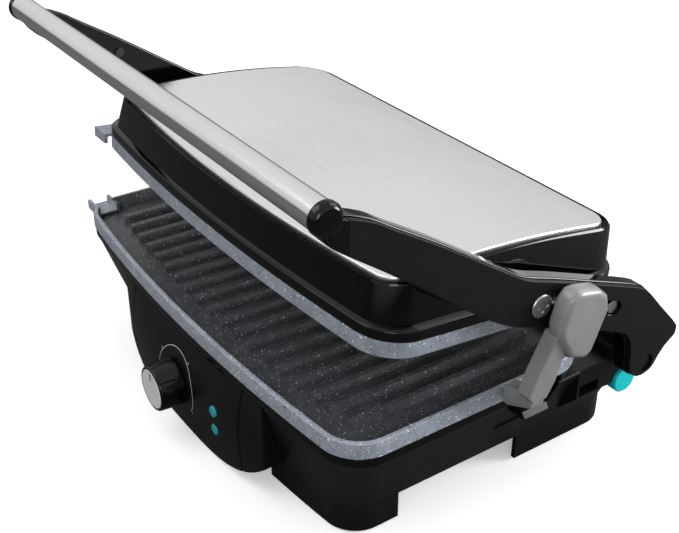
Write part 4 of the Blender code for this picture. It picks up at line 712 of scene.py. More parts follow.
def make_base_housing():
    """Drafted shell on four legs, open below and under the lower plate."""
    front = PLATE_FRONT_Y - FRONT_BOW - OVERRUN
    below = BASE_BOTTOM_Z - OVERRUN
    side = PLATE_HALF_X + OVERRUN
    back = BASE_BACK_Y + OVERRUN
    shell = skin("base_housing", (
        base_ring(0, BASE_BOTTOM_Z), base_ring(0, BASE_DRAFT_Z), base_ring(0, BASE_TOP_Z - EDGE_ROUND),
        base_ring(EDGE_ROUND, BASE_TOP_Z), level(OPENING_INSET, BASE_TOP_Z),
        level(OPENING_INSET, BASE_TOP_Z - WALL), base_ring(WALL, BASE_TOP_Z - WALL),
        base_ring(WALL, BASE_DRAFT_Z), base_ring(WALL, BASE_BOTTOM_Z)), "joined")
    arches = (
        box((-PLATE_HALF_X, SIDE_ARCH_FRONT_Y, below), (PLATE_HALF_X, SIDE_ARCH_BACK_Y, BASE_DRAFT_Z)),
        box((-FRONT_ARCH_HALF_X, front, below), (FRONT_ARCH_HALF_X, 0, FRONT_ARCH_TOP_Z)),
        box((-BACK_ARCH_HALF_X, 0, below), (BACK_ARCH_HALF_X, back, BACK_ARCH_TOP_Z)))
    windows = (
        box((-PANEL_WINDOW_HALF_X, front, PANEL_WINDOW_LOW_Z), (PANEL_WINDOW_HALF_X, 0, PANEL_WINDOW_HIGH_Z)),
        box((BASE_FOOT_HALF_X, CATCH_WINDOW_FRONT_Y, CATCH_WINDOW_LOW_Z),
            (side, CATCH_WINDOW_BACK_Y, BASE_TOP_Z + OVERRUN)))
    notches = side_boxes((BRACKET_INNER_X - GAP, BRACKET_FRONT_Y - GAP, BRACKET_LOW_Z - GAP),
                         (side, back, HINGE_Z + BRACKET_BOSS_RADIUS))
    gland = cylinder("Y", (GLAND_X, GLAND_Z), GLAND_RADIUS + GAP, BASE_BACK_Y - 2 * WALL, back)
    return cut(shell, *arches, *windows, *notches, gland)


def foot_places():
    """The four feet, as (x, y)."""
    return ((-FOOT_X, FRONT_FOOT_Y), (FOOT_X, FRONT_FOOT_Y), (-FOOT_X, BACK_FOOT_Y), (FOOT_X, BACK_FOOT_Y))


def make_foot_pad(name, centre):
    """Rubber pad with a stud that presses into the cover's boss."""
    return turned(name, "Z", centre, (
        (FOOT_RADIUS - EDGE_ROUND, 0), (FOOT_RADIUS, EDGE_ROUND), (FOOT_RADIUS, FOOT_HEIGHT),
        (FOOT_STUD_RADIUS, FOOT_HEIGHT), (FOOT_STUD_RADIUS, FOOT_HEIGHT + FOOT_STUD_HEIGHT)), SMALL_SIDES)


def make_base_rim():
    """Glossy band between the housing and the lower plate, cut away over the latch's catch."""
    inner = RIM_INSET + RIM_WIDTH
    band = skin("base_rim", (
        level(RIM_INSET, RIM_LOW_Z), level(RIM_INSET, RIM_TOP_Z - EDGE_ROUND),
        level(RIM_INSET + EDGE_ROUND, RIM_TOP_Z), level(inner, RIM_TOP_Z), level(inner, RIM_LOW_Z)), "joined")
    return cut(band, box((PLATE_HALF_X - RIM_WIDTH / 2, CATCH_WINDOW_FRONT_Y, RIM_LOW_Z - OVERRUN),
                         (PLATE_HALF_X + OVERRUN, CATCH_WINDOW_BACK_Y, RIM_TOP_Z + OVERRUN)))


def rib_comb(low_z, floor_z):
    """Row of ribs that run front to back, on one slab."""
    half = PLATE_HALF_X - RIB_MARGIN
    pitch = 2 * half / RIB_COUNT
    foot = RIB_FOOT_WIDTH / 2
    top = RIB_TOP_WIDTH / 2
    points = [(half, low_z), (half, floor_z)]
    for rib in range(RIB_COUNT):
        middle = half - pitch * (rib + 1 / 2)
        points += [(middle + foot, floor_z), (middle + top, floor_z + RIB_HEIGHT),
                   (middle - top, floor_z + RIB_HEIGHT), (middle - foot, floor_z)]
    points += [(-half, floor_z), (-half, low_z)]
    return prism("ribs", points, "Y", PLATE_FRONT_Y - FRONT_BOW, PLATE_BACK_Y)


def make_plate(name, spout_setback):
    """Cooking plate in its own frame: rim up at the plate's height, ribs, gutter and grease spout."""
    floor_z = PLATE_RIM_Z - PLATE_FLOOR_DEPTH
    piece = skin(name, (
        level(PLATE_BODY_INSET + PLATE_BODY_LEAN, PLATE_BAND_Z - PLATE_BODY_DEPTH),
        level(PLATE_BODY_INSET, PLATE_BAND_Z), level(0, PLATE_BAND_Z), level(0, PLATE_RIM_Z - EDGE_ROUND),
        level(EDGE_ROUND, PLATE_RIM_Z), level(PLATE_RIM_WIDTH, PLATE_RIM_Z),
        level(PLATE_RIM_WIDTH + PLATE_WALL_LEAN, floor_z)))
    low_z = floor_z - PLATE_BODY_DEPTH / 2
    area = skin("area", (level(RIB_MARGIN, low_z - OVERRUN), level(RIB_MARGIN, PLATE_RIM_Z)))
    join(piece, combine(rib_comb(low_z, floor_z), (area,), "INTERSECT"))
    middle = PLATE_FRONT_Y + spout_setback
    low_y = middle - SPOUT_WIDTH / 2
    high_y = middle + SPOUT_WIDTH / 2
    inside_x = -PLATE_HALF_X + FRONT_CORNER / 2
    end_x = -PLATE_HALF_X - SPOUT_REACH
    join(piece, box((end_x, low_y, PLATE_BAND_Z + SPOUT_RISE), (inside_x, high_y, PLATE_RIM_Z - EDGE_ROUND)))
    return cut(piece, box((end_x - OVERRUN, low_y + SPOUT_WALL, PLATE_BAND_Z + SPOUT_FLOOR),
                          (inside_x + SPOUT_WALL, high_y - SPOUT_WALL, PLATE_RIM_Z + OVERRUN)))


# Control panel and what sits on it

def panel_edge(x):
    """At one x: how much of the bulge is left, the wall's y behind it and the panel's low edge."""
    rise = min(1, abs(x) / PANEL_HALF_X) ** 4
    wall_y = PLATE_FRONT_Y - FRONT_BOW * (1 - (x / PLATE_HALF_X) ** 2) + BASE_TOP_INSET
    return 1 - rise, wall_y, PANEL_LOW_Z + (PANEL_END_LOW_Z - PANEL_LOW_Z) * rise


def panel_section(x):
    """Front of the CAD's panel cut at one x, as (y, z) from its top edge down."""
    fade, wall_y, low_z = panel_edge(x)
    bulge_y = wall_y - PANEL_BULGE * fade
    foot_y = wall_y - PANEL_FOOT_BULGE * fade
    middle_z = max(PANEL_BULGE_Z, low_z)
    return ((wall_y, PANEL_TOP_Z), ((wall_y + 3 * bulge_y) / 4, (PANEL_TOP_Z + middle_z) / 2),
            (bulge_y, middle_z), ((3 * bulge_y + foot_y) / 4, (middle_z + low_z) / 2), (foot_y, low_z))


def panel_surface_y(x, z):
    """Front surface of the finer panel at a place."""
    fade, wall_y, low_z = panel_edge(x)
    if z >= PANEL_BULGE_Z:
        part = max(0, (PANEL_TOP_Z - z) / (PANEL_TOP_Z - PANEL_BULGE_Z))
        reach = PANEL_BULGE * math.sin(math.pi / 2 * part)
    else:
        part = min(1, (PANEL_BULGE_Z - z) / (PANEL_BULGE_Z - low_z))
        reach = PANEL_FOOT_BULGE + (PANEL_BULGE - PANEL_FOOT_BULGE) * math.cos(math.pi / 2 * part)
    return wall_y - reach * fade


def panel_hole(x, z, radius):
    """Cutter through the control panel."""
    far_y = PLATE_FRONT_Y - FRONT_BOW - PANEL_BULGE - OVERRUN
    return cylinder("Y", (x, z), radius + GAP, far_y, PANEL_BACK_Y, SMALL_SIDES)


def make_control_panel():
    """Bulging front with a fine groove towards each end."""
    xs = [PANEL_HALF_X * step / PANEL_COLUMNS for step in range(-PANEL_COLUMNS, PANEL_COLUMNS + 1)]
    xs += [side * (GROOVE_X + share * GROOVE_WIDTH) for side in (-1, 1) for share in (-1, -1 / 2, 1 / 2, 1)]
    rings = []
    for x in sorted(xs):
        low_z = panel_edge(x)[2]
        sunk = GROOVE_DEPTH if abs(abs(x) - GROOVE_X) < GROOVE_WIDTH * GROOVE_CORE_SHARE else 0
        ring = []
        for row in range(PANEL_ROWS + 1):
            z = PANEL_TOP_Z + (low_z - PANEL_TOP_Z) * row / PANEL_ROWS
            ring.append(Vector((x, panel_surface_y(x, z) + sunk, z)))
        rings.append(ring + [Vector((x, PANEL_BACK_Y, low_z)), Vector((x, PANEL_BACK_Y, PANEL_TOP_Z))])
    body = skin("body", (base_ring(-GAP, BASE_BOTTOM_Z - OVERRUN), base_ring(-GAP, BASE_DRAFT_Z),
                         base_ring(-GAP, BASE_TOP_Z + OVERRUN)))
    return cut(skin("control_panel", rings, "flat"), body, panel_hole(KNOB_X, KNOB_Z, THERMOSTAT_NECK_RADIUS),
               panel_hole(LENS_X, POWER_LENS_Z, LENS_RADIUS), panel_hole(LENS_X, READY_LENS_Z, LENS_RADIUS))


def make_lens(name, z):
    """Round indicator lens, a little proud of the panel."""
    section = panel_section(LENS_X)
    (bulge_y, bulge_z), (foot_y, foot_z) = section[2], section[4]
    front_y = bulge_y + (bulge_z - z) / (bulge_z - foot_z) * (foot_y - bulge_y) / 2 - LENS_PROUD
    return turned(name, "Y", (LENS_X, z), (
        (LENS_RADIUS - LENS_PROUD, front_y), (LENS_RADIUS, front_y + LENS_PROUD),
        (LENS_RADIUS, front_y + LENS_DEPTH)), SMALL_SIDES)


def knob_back_y():
    """The knob's back, a little in front of the panel at the knob's height."""
    section = panel_section(0)
    for (high_y, high_z), (low_y, low_z) in zip(section, section[1:]):
        if low_z <= KNOB_Z <= high_z:
            return low_y + (high_y - low_y) * (KNOB_Z - low_z) / (high_z - low_z) - KNOB_STANDOFF
    return section[2][0] - KNOB_STANDOFF


def make_knob():
    """Round knob: skirt, pocket behind, hub with a blind socket, recess in its face."""
    back = knob_back_y()
    face = back - KNOB_DEPTH
    cap_floor = face + KNOB_CAP_THICKNESS
    pocket = cap_floor + KNOB_WEB
    return turned("knob", "Y", (KNOB_X, KNOB_Z), (
        (KNOB_CAP_RADIUS + GAP, cap_floor), (KNOB_CAP_RADIUS + GAP, face),
        (KNOB_FACE_RADIUS - EDGE_ROUND, face), (KNOB_FACE_RADIUS, face + EDGE_ROUND),
        (KNOB_RADIUS, back), (KNOB_POCKET_RADIUS, back),
        (KNOB_POCKET_RADIUS, pocket), (KNOB_HUB_RADIUS, pocket), (KNOB_HUB_RADIUS, back),
        (SHAFT_RADIUS + GAP, back), (SHAFT_RADIUS + GAP, back - SHAFT_SOCKET_DEPTH)))


def make_knob_cap():
    """Metal disc in the knob's face."""
    face = knob_back_y() - KNOB_DEPTH
    return turned("knob_cap", "Y", (KNOB_X, KNOB_Z), (
        (KNOB_CAP_RADIUS, face + KNOB_CAP_THICKNESS - GAP), (KNOB_CAP_RADIUS, face + GAP),
        (KNOB_CAP_RADIUS - GAP, face)))


def make_knob_mark():
    """Pointer line on the knob's disc."""
    face = knob_back_y() - KNOB_DEPTH
    half = MARK_WIDTH / 2
    return box((KNOB_X - half, face - PRINT_LIFT, KNOB_Z + MARK_START),
               (KNOB_X + half, face + PRINT_LIFT, KNOB_Z + KNOB_CAP_RADIUS - MARK_WIDTH), "knob_mark")


def strip_edges(points):
    """Both edges, by turns, of a thin strip of print on the panel along points given as (x, z)."""
    edges = []
    for index, point in enumerate(points):
        before = Vector(points[max(0, index - 1)])
        after = Vector(points[min(len(points) - 1, index + 1)])
        along = (after - before).normalized()
        across = Vector((-along.y, along.x)) * PRINT_WIDTH / 2
        for sign in (-1, 1):
            x, z = Vector(point) + across * sign
            edges.append((x, panel_surface_y(x, z) - PRINT_LIFT, z))
    return edges


def make_scale():
    """Arc and ticks printed round the knob."""
    def at(radius, share):
        turn = SCALE_START + (SCALE_END - SCALE_START) * share
        return KNOB_X + radius * math.cos(turn), KNOB_Z + radius * math.sin(turn)
    strips = [[at(SCALE_RADIUS, step / SCALE_STEPS) for step in range(SCALE_STEPS + 1)]]
    for tick in range(SCALE_TICKS + 1):
        share = tick / SCALE_TICKS
        strips.append([at(SCALE_RADIUS, share), at(SCALE_RADIUS + TICK_LENGTH, share)])
    vertices = []
    faces = []
    for points in strips:
        for corner in range(len(vertices), len(vertices) + 2 * len(points) - 2, 2):
            faces.append((corner, corner + 1, corner + 3, corner + 2))
        vertices += strip_edges(points)
    mesh = bpy.data.meshes.new("knob_scale")
    mesh.from_pydata(vertices, [], faces)
    return new_piece("knob_scale", mesh)


# Hinge, button, catch and gland

def make_hinge_bracket():
    """Block with the hinge's bearing and a slot in its side."""
    top_z = BASE_TOP_Z - GAP
    piece = prism("hinge_bracket_right", (
        (BRACKET_INNER_X, BRACKET_LOW_Z), (BRACKET_LOW_X, BRACKET_LOW_Z), (BRACKET_OUTER_X, BRACKET_FULL_Z),
        (BRACKET_OUTER_X, top_z), (BRACKET_INNER_X, top_z)), "Y", BRACKET_FRONT_Y, BRACKET_BACK_Y)
    join(piece, cylinder("X", HINGE_AXIS, BRACKET_BOSS_RADIUS, BRACKET_INNER_X + WALL, BRACKET_OUTER_X))
    outside = BRACKET_OUTER_X + OVERRUN
    half_y = BRACKET_SLOT_WIDTH / 2
    half_z = BRACKET_SLOT_HEIGHT / 2
    bearing_x = BRACKET_OUTER_X - HUB_LENGTH - GAP
    return cut(piece, cylinder("X", HINGE_AXIS, HUB_RADIUS + RUN, bearing_x, outside),
               box((BRACKET_OUTER_X - BRACKET_SLOT_DEPTH, BRACKET_SLOT_Y - half_y, BRACKET_SLOT_Z - half_z),
                   (outside, BRACKET_SLOT_Y + half_y, BRACKET_SLOT_Z + half_z)))


def cut_button_bore(bracket):
    """Blind bore for the release button and its spring."""
    floor_x = BUTTON_FACE_X - BUTTON_LENGTH - BUTTON_TRAVEL - SPRING_LENGTH - 2 * SPRING_WIRE - GAP
    return cut(bracket, cylinder("X", BUTTON_AXIS, BUTTON_RADIUS + RUN, floor_x, BRACKET_OUTER_X + OVERRUN))


def make_release_button():
    """Round button below the hinge."""
    return turned("release_button", "X", BUTTON_AXIS, (
        (BUTTON_RADIUS, BUTTON_FACE_X - BUTTON_LENGTH), (BUTTON_RADIUS, BUTTON_FACE_X - EDGE_ROUND),
        (BUTTON_RADIUS - EDGE_ROUND, BUTTON_FACE_X)))


def make_latch_catch():
    """Keeper that the latch's hook reaches under, on a plate behind the window in the housing."""
    plate = box((CATCH_PLATE_X - WALL, CATCH_WINDOW_FRONT_Y + GAP, CATCH_WINDOW_LOW_Z + GAP),
                (CATCH_PLATE_X, CATCH_WINDOW_BACK_Y - GAP, CATCH_WINDOW_HIGH_Z), "latch_catch")
    root_x = CATCH_PLATE_X - WALL / 2
    return join(plate, prism("keeper", (
        (root_x, CATCH_LOW_Z), (CATCH_REACH_X - WALL, CATCH_LOW_Z), (CATCH_REACH_X, CATCH_LOW_Z + WALL / 2),
        (CATCH_REACH_X - WALL, CATCH_HIGH_Z), (root_x, CATCH_HIGH_Z)), "Y", CATCH_FRONT_Y, CATCH_BACK_Y))


def make_gland():
    """Flanged grommet in the rear wall, bored for a mains cord."""
    face = BASE_BACK_Y - GLAND_FACE_INSET
    inner = BASE_BACK_Y - WALL - GAP
    back = inner - GLAND_DEPTH + WALL
    flange = GLAND_RADIUS + GLAND_FLANGE
    return turned("cord_gland", "Y", (GLAND_X, GLAND_Z), (
        (GLAND_BORE, back), (flange, back), (flange, inner), (GLAND_RADIUS, inner),
        (GLAND_RADIUS, face - EDGE_ROUND), (GLAND_RADIUS - EDGE_ROUND, face), (GLAND_BORE, face)),
        SMALL_SIDES, "joined")


# Arms and handle

def arm_outline():
    """The arm's outline with its corners eased, kept within the CAD's reach."""
    corners = anticlockwise([arm_place(shares) for shares in ARM_OUTLINE_SHARES])
    back_y = max(corner[0] for corner in corners)
    return [(min(y, back_y), z) for y, z in smooth_outline(corners, CURVE_STEPS)]


def arm_region(front):
    """Everything ahead of the cover's front edge, or everything behind it."""
    beyond = 4 * ARM_FRAME_THICKNESS
    split_y = HINGE_Y - ELBOW_SHARE * ARM_REACH
    far_y = FRONT_REACH_Y - ARM_FRAME_THICKNESS if front else HINGE_Y + beyond
    low_y, high_y = sorted((split_y, far_y))
    return box((ARM_INNER_X - OVERRUN, low_y, 0), (ELBOW_OUTER_X + OVERRUN, high_y, HANDLE_Z + beyond))


def slot_place(shift):
    """Place (y, z) in the arm's slot, by its distance from the slot's middle."""
    centre_y, centre_z = arm_place(ARM_SLOT_SHARES)
    return centre_y + shift * math.cos(ARM_SLOT_ANGLE), centre_z + shift * math.sin(ARM_SLOT_ANGLE)


RIVET_AXIS = slot_place(ARM_SLOT_LENGTH / 2 - ARM_SLOT_RIVET_SETBACK)


def slot_outline():
    """Slot with round ends along the arm, as (y, z)."""
    radius = ARM_SLOT_WIDTH / 2
    points = []
    for side in (1, -1):
        centre_y, centre_z = slot_place(side * (ARM_SLOT_LENGTH / 2 - radius))
        for step in range(ARC_STEPS + 1):
            turn = ARM_SLOT_ANGLE - math.pi / 2 * side + math.pi * step / ARC_STEPS
            points.append((centre_y + radius * math.cos(turn), centre_z + radius * math.sin(turn)))
    return points


def make_arm():
    """Glossy frame of the right arm, with the elbow that closes the handle's end."""
    piece = prism("arm_right", inset_polygon(arm_outline(), -ARM_FRAME_LIP), "X", ARM_INNER_X, ARM_FRAME_X)
    neck = prism("neck", arm_outline(), "X", ARM_FRAME_X - WALL, ELBOW_OUTER_X - WALL / 2)
    combine(neck, (arm_region(True),), "INTERSECT")
    radius = HANDLE_RADIUS + ELBOW_WALL
    elbow = turned("elbow", "X", HANDLE_AXIS, (
        (radius, ELBOW_INNER_X), (radius, ELBOW_OUTER_X - ELBOW_ROUND),
        (radius - ELBOW_ROUND / 3, ELBOW_OUTER_X - ELBOW_ROUND / 3), (radius - ELBOW_ROUND, ELBOW_OUTER_X)))
    join(bevelled(piece), bevelled(neck), elbow)
    start = ARM_INNER_X - OVERRUN
    cut(piece, cylinder("X", HANDLE_AXIS, HANDLE_RADIUS + GAP, start, ELBOW_INNER_X),
        small_bar(HANDLE_AXIS, CORE_SPIGOT_RADIUS + GAP, ELBOW_INNER_X - OVERRUN,
                  ELBOW_INNER_X + CORE_SPIGOT_LENGTH + GAP))
    for axis, radius in ((HINGE_AXIS, HINGE_PIN_RADIUS), (PIVOT_AXIS, PIVOT_SCREW_RADIUS),
                         (LATCH_AXIS, LATCH_PIN_RADIUS), (SCREW_AXIS, ARM_SCREW_RADIUS),
                         (RIVET_AXIS, RIVET_RADIUS)):
        cut(piece, small_bar(axis, radius + GAP, start, ARM_FRAME_X + OVERRUN))
    return piece


def make_arm_cover():
    """Matt cover on the outside of the right arm, behind the elbow."""
    piece = prism("arm_cover_right", arm_outline(), "X", ARM_COVER_INNER_X, ARM_OUTER_X)
    combine(piece, (arm_region(False),), "INTERSECT")
    bevelled(piece, EDGE_ROUND / 2)
    start = ARM_COVER_INNER_X - OVERRUN
    through = ARM_OUTER_X + OVERRUN
    for axis, radius, end in ((HINGE_AXIS, HINGE_HEAD_RADIUS, through),
                              (PIVOT_AXIS, PIVOT_SCREW_RADIUS, through),
                              (LATCH_AXIS, LATCH_PIN_RADIUS, through),
                              (SCREW_AXIS, ARM_SCREW_RADIUS, ARM_OUTER_X - EDGE_ROUND)):
        cut(piece, small_bar(axis, radius + GAP, start, end))
    return cut(piece, prism("slot", slot_outline(), "X", start, through))


def make_slot_rivet():
    """Rivet through the frame, with its head in the cover's slot."""
    head = ARM_FRAME_X + GAP
    top = head + RIVET_HEAD
    return turned("slot_rivet_right", "X", RIVET_AXIS, (
        (RIVET_RADIUS, ARM_INNER_X), (RIVET_RADIUS, head), (RIVET_HEAD_RADIUS, head),
        (RIVET_HEAD_RADIUS, top - GAP), (RIVET_HEAD_RADIUS - GAP, top)), SMALL_SIDES)


def make_handle_tube():
    """Steel sheet bent round the core, open along its lower back."""
    sides = ROUND_SIDES - ARC_STEPS
    middle = HANDLE_OPEN_TOWARDS + math.pi
    turns = [middle + HANDLE_WRAP * (side / sides - 1 / 2) for side in range(sides + 1)]
    points = []
    for radius, run in ((HANDLE_RADIUS, turns), (HANDLE_RADIUS - HANDLE_SHEET, reversed(turns))):
        points += [(HANDLE_Y + radius * math.cos(turn), HANDLE_Z + radius * math.sin(turn)) for turn in run]
    return prism("handle_tube", points, "X", -HANDLE_HALF_X, HANDLE_HALF_X)


def make_handle_core():
    """Core inside the handle's sheet, with a spigot into each elbow."""
    radius = HANDLE_RADIUS - HANDLE_SHEET - GAP
    tip = ELBOW_INNER_X + CORE_SPIGOT_LENGTH
    return turned("handle_core", "X", HANDLE_AXIS, (
        (CORE_SPIGOT_RADIUS, -tip), (CORE_SPIGOT_RADIUS, -HANDLE_HALF_X), (radius, -HANDLE_HALF_X),
        (radius, HANDLE_HALF_X), (CORE_SPIGOT_RADIUS, HANDLE_HALF_X), (CORE_SPIGOT_RADIUS, tip)))


def make_pivot_screw():
    """Large cross-head screw that carries the lid."""
    head = ARM_OUTER_X + GAP
    top = head + PIVOT_HEAD
    screw = turned("pivot_screw_right", "X", PIVOT_AXIS, (
        (PIVOT_SCREW_RADIUS, BUSH_INNER_X), (PIVOT_SCREW_RADIUS, head), (PIVOT_HEAD_RADIUS, head),
        (PIVOT_HEAD_RADIUS, top - EDGE_ROUND), (PIVOT_HEAD_RADIUS - EDGE_ROUND, top)))
    half = CROSS_LENGTH / 2
    width = CROSS_WIDTH / 2
    corner = [(half, width), (width, width), (width, half)]
    cross = []
    for _ in range(4):
        cross += [(PIVOT_AXIS[0] + along, PIVOT_AXIS[1] + up) for along, up in corner]
        corner = [(-up, along) for along, up in corner]
    return cut(screw, prism("cross", cross, "X", top - CROSS_DEPTH, top + OVERRUN))


# Lid

def crown(y):
    """Height of the steel panel's top over the upper plate's rim."""
    return LID_CROWN_HEIGHT - (y - LID_CROWN_Y) ** 2 / (2 * LID_CROWN_RADIUS)


def below_crown(drop):
    """Height at a drop below the crown, as a function of y."""
    return lambda y: crown(y) - drop


def lid_ring(inset, front_inset, back_inset, height):
    """Ring of the lid's wall, with its own setbacks at the front and the rear."""
    points = outline(0, PLATE_HALF_X - inset, PLATE_FRONT_Y + front_inset, PLATE_BACK_Y - back_inset,
                     FRONT_CORNER - front_inset, BACK_CORNER - inset)
    return at_height(points, height)


def recess_ring(inset, height):
    """Ring of the steel panel or of its recess, which follows the lid's rim."""
    return lid_ring(LID_RIM_INSET + inset, LID_TOP_FRONT_INSET + inset, LID_RIM_BACK_INSET + inset, height)


def make_lid_housing():
    """Moulded lid with a flange, drafted wall, panel recess and a boss for each pivot."""
    flange_low = PLATE_BAND + GAP
    flange_top = flange_low + FLANGE_HEIGHT
    piece = skin("lid_housing", (
        lid_ring(LID_TOP_INSET + WALL, LID_TOP_FRONT_INSET + WALL, 2 * WALL, LID_ROOF_HEIGHT),
        lid_ring(LID_WALL_INSET + WALL, LID_WALL_FRONT_INSET + 2 * WALL, 2 * WALL, flange_low + WALL),
        level(OPENING_INSET, flange_low + WALL), level(OPENING_INSET, flange_low), level(0, flange_low),
        level(0, flange_top - EDGE_ROUND), level(EDGE_ROUND, flange_top),
        lid_ring(LID_WALL_INSET, LID_WALL_FRONT_INSET, LID_WALL_BACK_INSET, flange_top + EDGE_ROUND),
        lid_ring(LID_TOP_INSET, LID_TOP_FRONT_INSET, LID_TOP_BACK_INSET, below_crown(LID_SIDE_DROP)),
        recess_ring(0, below_crown(LID_RIM_DROP)), recess_ring(EDGE_ROUND, below_crown(PANEL_RECESS))))
    boss_end = BUSH_FLANGE_X - RUN
    boss_start = boss_end - PIVOT_BOSS_LENGTH
    outside = PLATE_HALF_X + OVERRUN
    for change, radius, low_x, high_x in (
            ("UNION", PIVOT_BOSS_RADIUS, boss_start, boss_end),
            ("DIFFERENCE", BUSH_RADIUS + RUN, boss_start - OVERRUN, outside),
            ("DIFFERENCE", BUSH_FLANGE_RADIUS + RUN, boss_end, outside)):
        seat = cylinder("X", (PIVOT_PLATE_Y, PIVOT_HEIGHT), radius, low_x, high_x)
        combine(piece, (mirrored(seat, "tool"), seat), change)
    return place_on_lid(piece)


def make_upper_plate():
    """Upper plate, relieved at each side for the lid's pivot bosses."""
    piece = make_plate("upper_plate", UPPER_SPOUT_SETBACK)
    reach = PIVOT_BOSS_RADIUS + GAP
    start_x = BUSH_FLANGE_X - RUN - PIVOT_BOSS_LENGTH - GAP
    cut(piece, *side_boxes((start_x, PIVOT_PLATE_Y - reach, PLATE_BAND_Z - PLATE_BODY_DEPTH - OVERRUN),
                           (PLATE_HALF_X, PIVOT_PLATE_Y + reach, PLATE_BAND_Z - GAP)))
    return flip_to_lid(piece)


def make_lid_panel():
    """Crowned steel panel in the lid's recess."""
    inset = EDGE_ROUND + PANEL_PLAY
    return place_on_lid(skin("lid_top_panel", (
        recess_ring(inset, below_crown(PANEL_RECESS - GAP)), recess_ring(inset, below_crown(EDGE_ROUND)),
        recess_ring(inset + EDGE_ROUND, crown))))


# Latch

def latch_place(shares):
    """Side-view place from shares of the paddle's size, counted from the latch's pin."""
    return LATCH_AXIS[0] + shares[0] * PADDLE_WIDTH, LATCH_AXIS[1] + shares[1] * PADDLE_HEIGHT


def make_latch():
    """Grey lever: paddle beside the arm, leg that hangs in front of it, foot that hooks under the catch."""
    paddle = anticlockwise([latch_place(shares) for shares in PADDLE_SHARES])
    leg = anticlockwise([latch_place(shares) for shares in LEG_SHARES])
    piece = bevelled(prism("latch_lever", paddle, "X", LATCH_INNER_X, LATCH_OUTER_X), PADDLE_SOFTNESS)
    join(piece, bevelled(prism("leg", leg, "X", LEG_INNER_X, LEG_OUTER_X)))
    front_y, back_y = (latch_place((share, 0))[0] for share in FOOT_SHARES)
    tip_low, root_low, root_high, tip_high = (latch_place((0, share))[1] for share in FOOT_HEIGHT_SHARES)
    root_x = LEG_OUTER_X - EDGE_ROUND
    foot = prism("foot", (
        (FOOT_TIP_X, tip_low), (FOOT_LIP_X, tip_low), (root_x, root_low), (root_x, root_high),
        (LEG_INNER_X, root_high), (FOOT_TIP_X, tip_high)), "Y", front_y, back_y)
    join(piece, bevelled(foot))
    return cut(piece, small_bar(LATCH_AXIS, LATCH_PIN_RADIUS + RUN, LEG_INNER_X - OVERRUN,
                                LATCH_PIN_END_X + GAP))


# Materials

def feed(tree, made, **inputs):
    """Set a node's inputs, by name or as i and number, each to a value or to another node's output."""
    for name, value in inputs.items():
        socket = made.inputs[int(name[1:]) if name[1:].isdigit() else name.replace("_", " ")]
        if isinstance(value, bpy.types.NodeSocket):
            tree.links.new(value, socket)
        else:
            socket.default_value = value
    return made


def node(tree, kind, **inputs):
    """New shader node with its inputs set."""
    return feed(tree, tree.nodes.new(kind), **inputs)


def ramp(tree, factor, stops, constant=False):
    """Colour ramp with (place, grey or colour) stops."""
    made = node(tree, "ShaderNodeValToRGB", Fac=factor)
    if constant:
        made.color_ramp.interpolation = "CONSTANT"
    elements = made.color_ramp.elements
    while len(elements) < len(stops):
        elements.new(1 / 2)
    for element, (place_on_ramp, colour) in zip(elements, stops):
        element.position = place_on_ramp
        element.color = (*colour, 1) if isinstance(colour, tuple) else (colour, colour, colour, 1)
    return made.outputs["Color"]


def between(tree, factor, low, high):
    """Two greys or colours, blended over the middle of a noise."""
    return ramp(tree, factor, ((NOISE_LOW, low), (NOISE_HIGH, high)))


def shaded(tree, factor, colour, places, shades):
    """A colour that runs from one shade to another between two places of a ramp."""
    stops = [(place_on_ramp, scaled(colour, shade)) for place_on_ramp, shade in zip(places, shades)]
    return ramp(tree, factor, stops)


def blend(tree, factor, first, second):
    """Mix of two colours."""
    made = tree.nodes.new("ShaderNodeMix")
    made.data_type = "RGBA"
    return feed(tree, made, i0=factor, i6=first, i7=second).outputs[2]


def scaled(colour, factor):
    return tuple(min(1, part * factor) for part in colour)


def new_material(name):
    made = bpy.data.materials.new(name)
    made.use_nodes = True
    tree = made.node_tree
    return made, tree, tree.nodes["Principled BSDF"]


def noise(tree, scale, detail=3, stretch=(1, 1, 1)):
    """Noise that stays with the piece, in its own metres."""
    place_node = tree.nodes.new("ShaderNodeTexCoord")
    mapping = node(tree, "ShaderNodeMapping", Vector=place_node.outputs["Object"], Scale=stretch)
    made = node(tree, "ShaderNodeTexNoise", Vector=mapping.outputs["Vector"], Scale=scale, Detail=detail)
    return made.outputs["Fac"]


def bump(tree, height, strength, distance):
    made = node(tree, "ShaderNodeBump", Height=height, Strength=strength, Distance=distance)
    return made.outputs["Normal"]


def moulded(name, colour, roughness, spread, grain, strength, gloss, metallic=0):
    """Moulded plastic or paint: slight mottling, uneven gloss and a fine grain."""
    made, tree, shader = new_material(name)
    feed(tree, shader, Specular_IOR_Level=gloss, Metallic=metallic,
         Base_Color=shaded(tree, noise(tree, MOTTLE_SCALE), colour, (NOISE_LOW, NOISE_HIGH), MOTTLE_SHADES),
         Roughness=between(tree, noise(tree, GLOSS_SCALE), roughness - spread, roughness + spread),
         Normal=bump(tree, noise(tree, grain, 2), strength, MOULDED_BUMP))
    return made


def metal(name, colour, roughness, spread, stretch, strength):
    """Steel with a drawn or brushed grain; stretch is smallest along the grain."""
    made, tree, shader = new_material(name)
    grain = noise(tree, 1, 4, stretch)
    tone = node(tree, "ShaderNodeMath", i0=grain, i1=noise(tree, METAL_SCALE)).outputs[0]
    feed(tree, shader, Metallic=1,
         Base_Color=shaded(tree, tone, colour, METAL_TONES, METAL_SHADES),
         Roughness=between(tree, grain, roughness - spread, roughness + spread),
         Normal=bump(tree, grain, strength, FINE_BUMP))
    return made


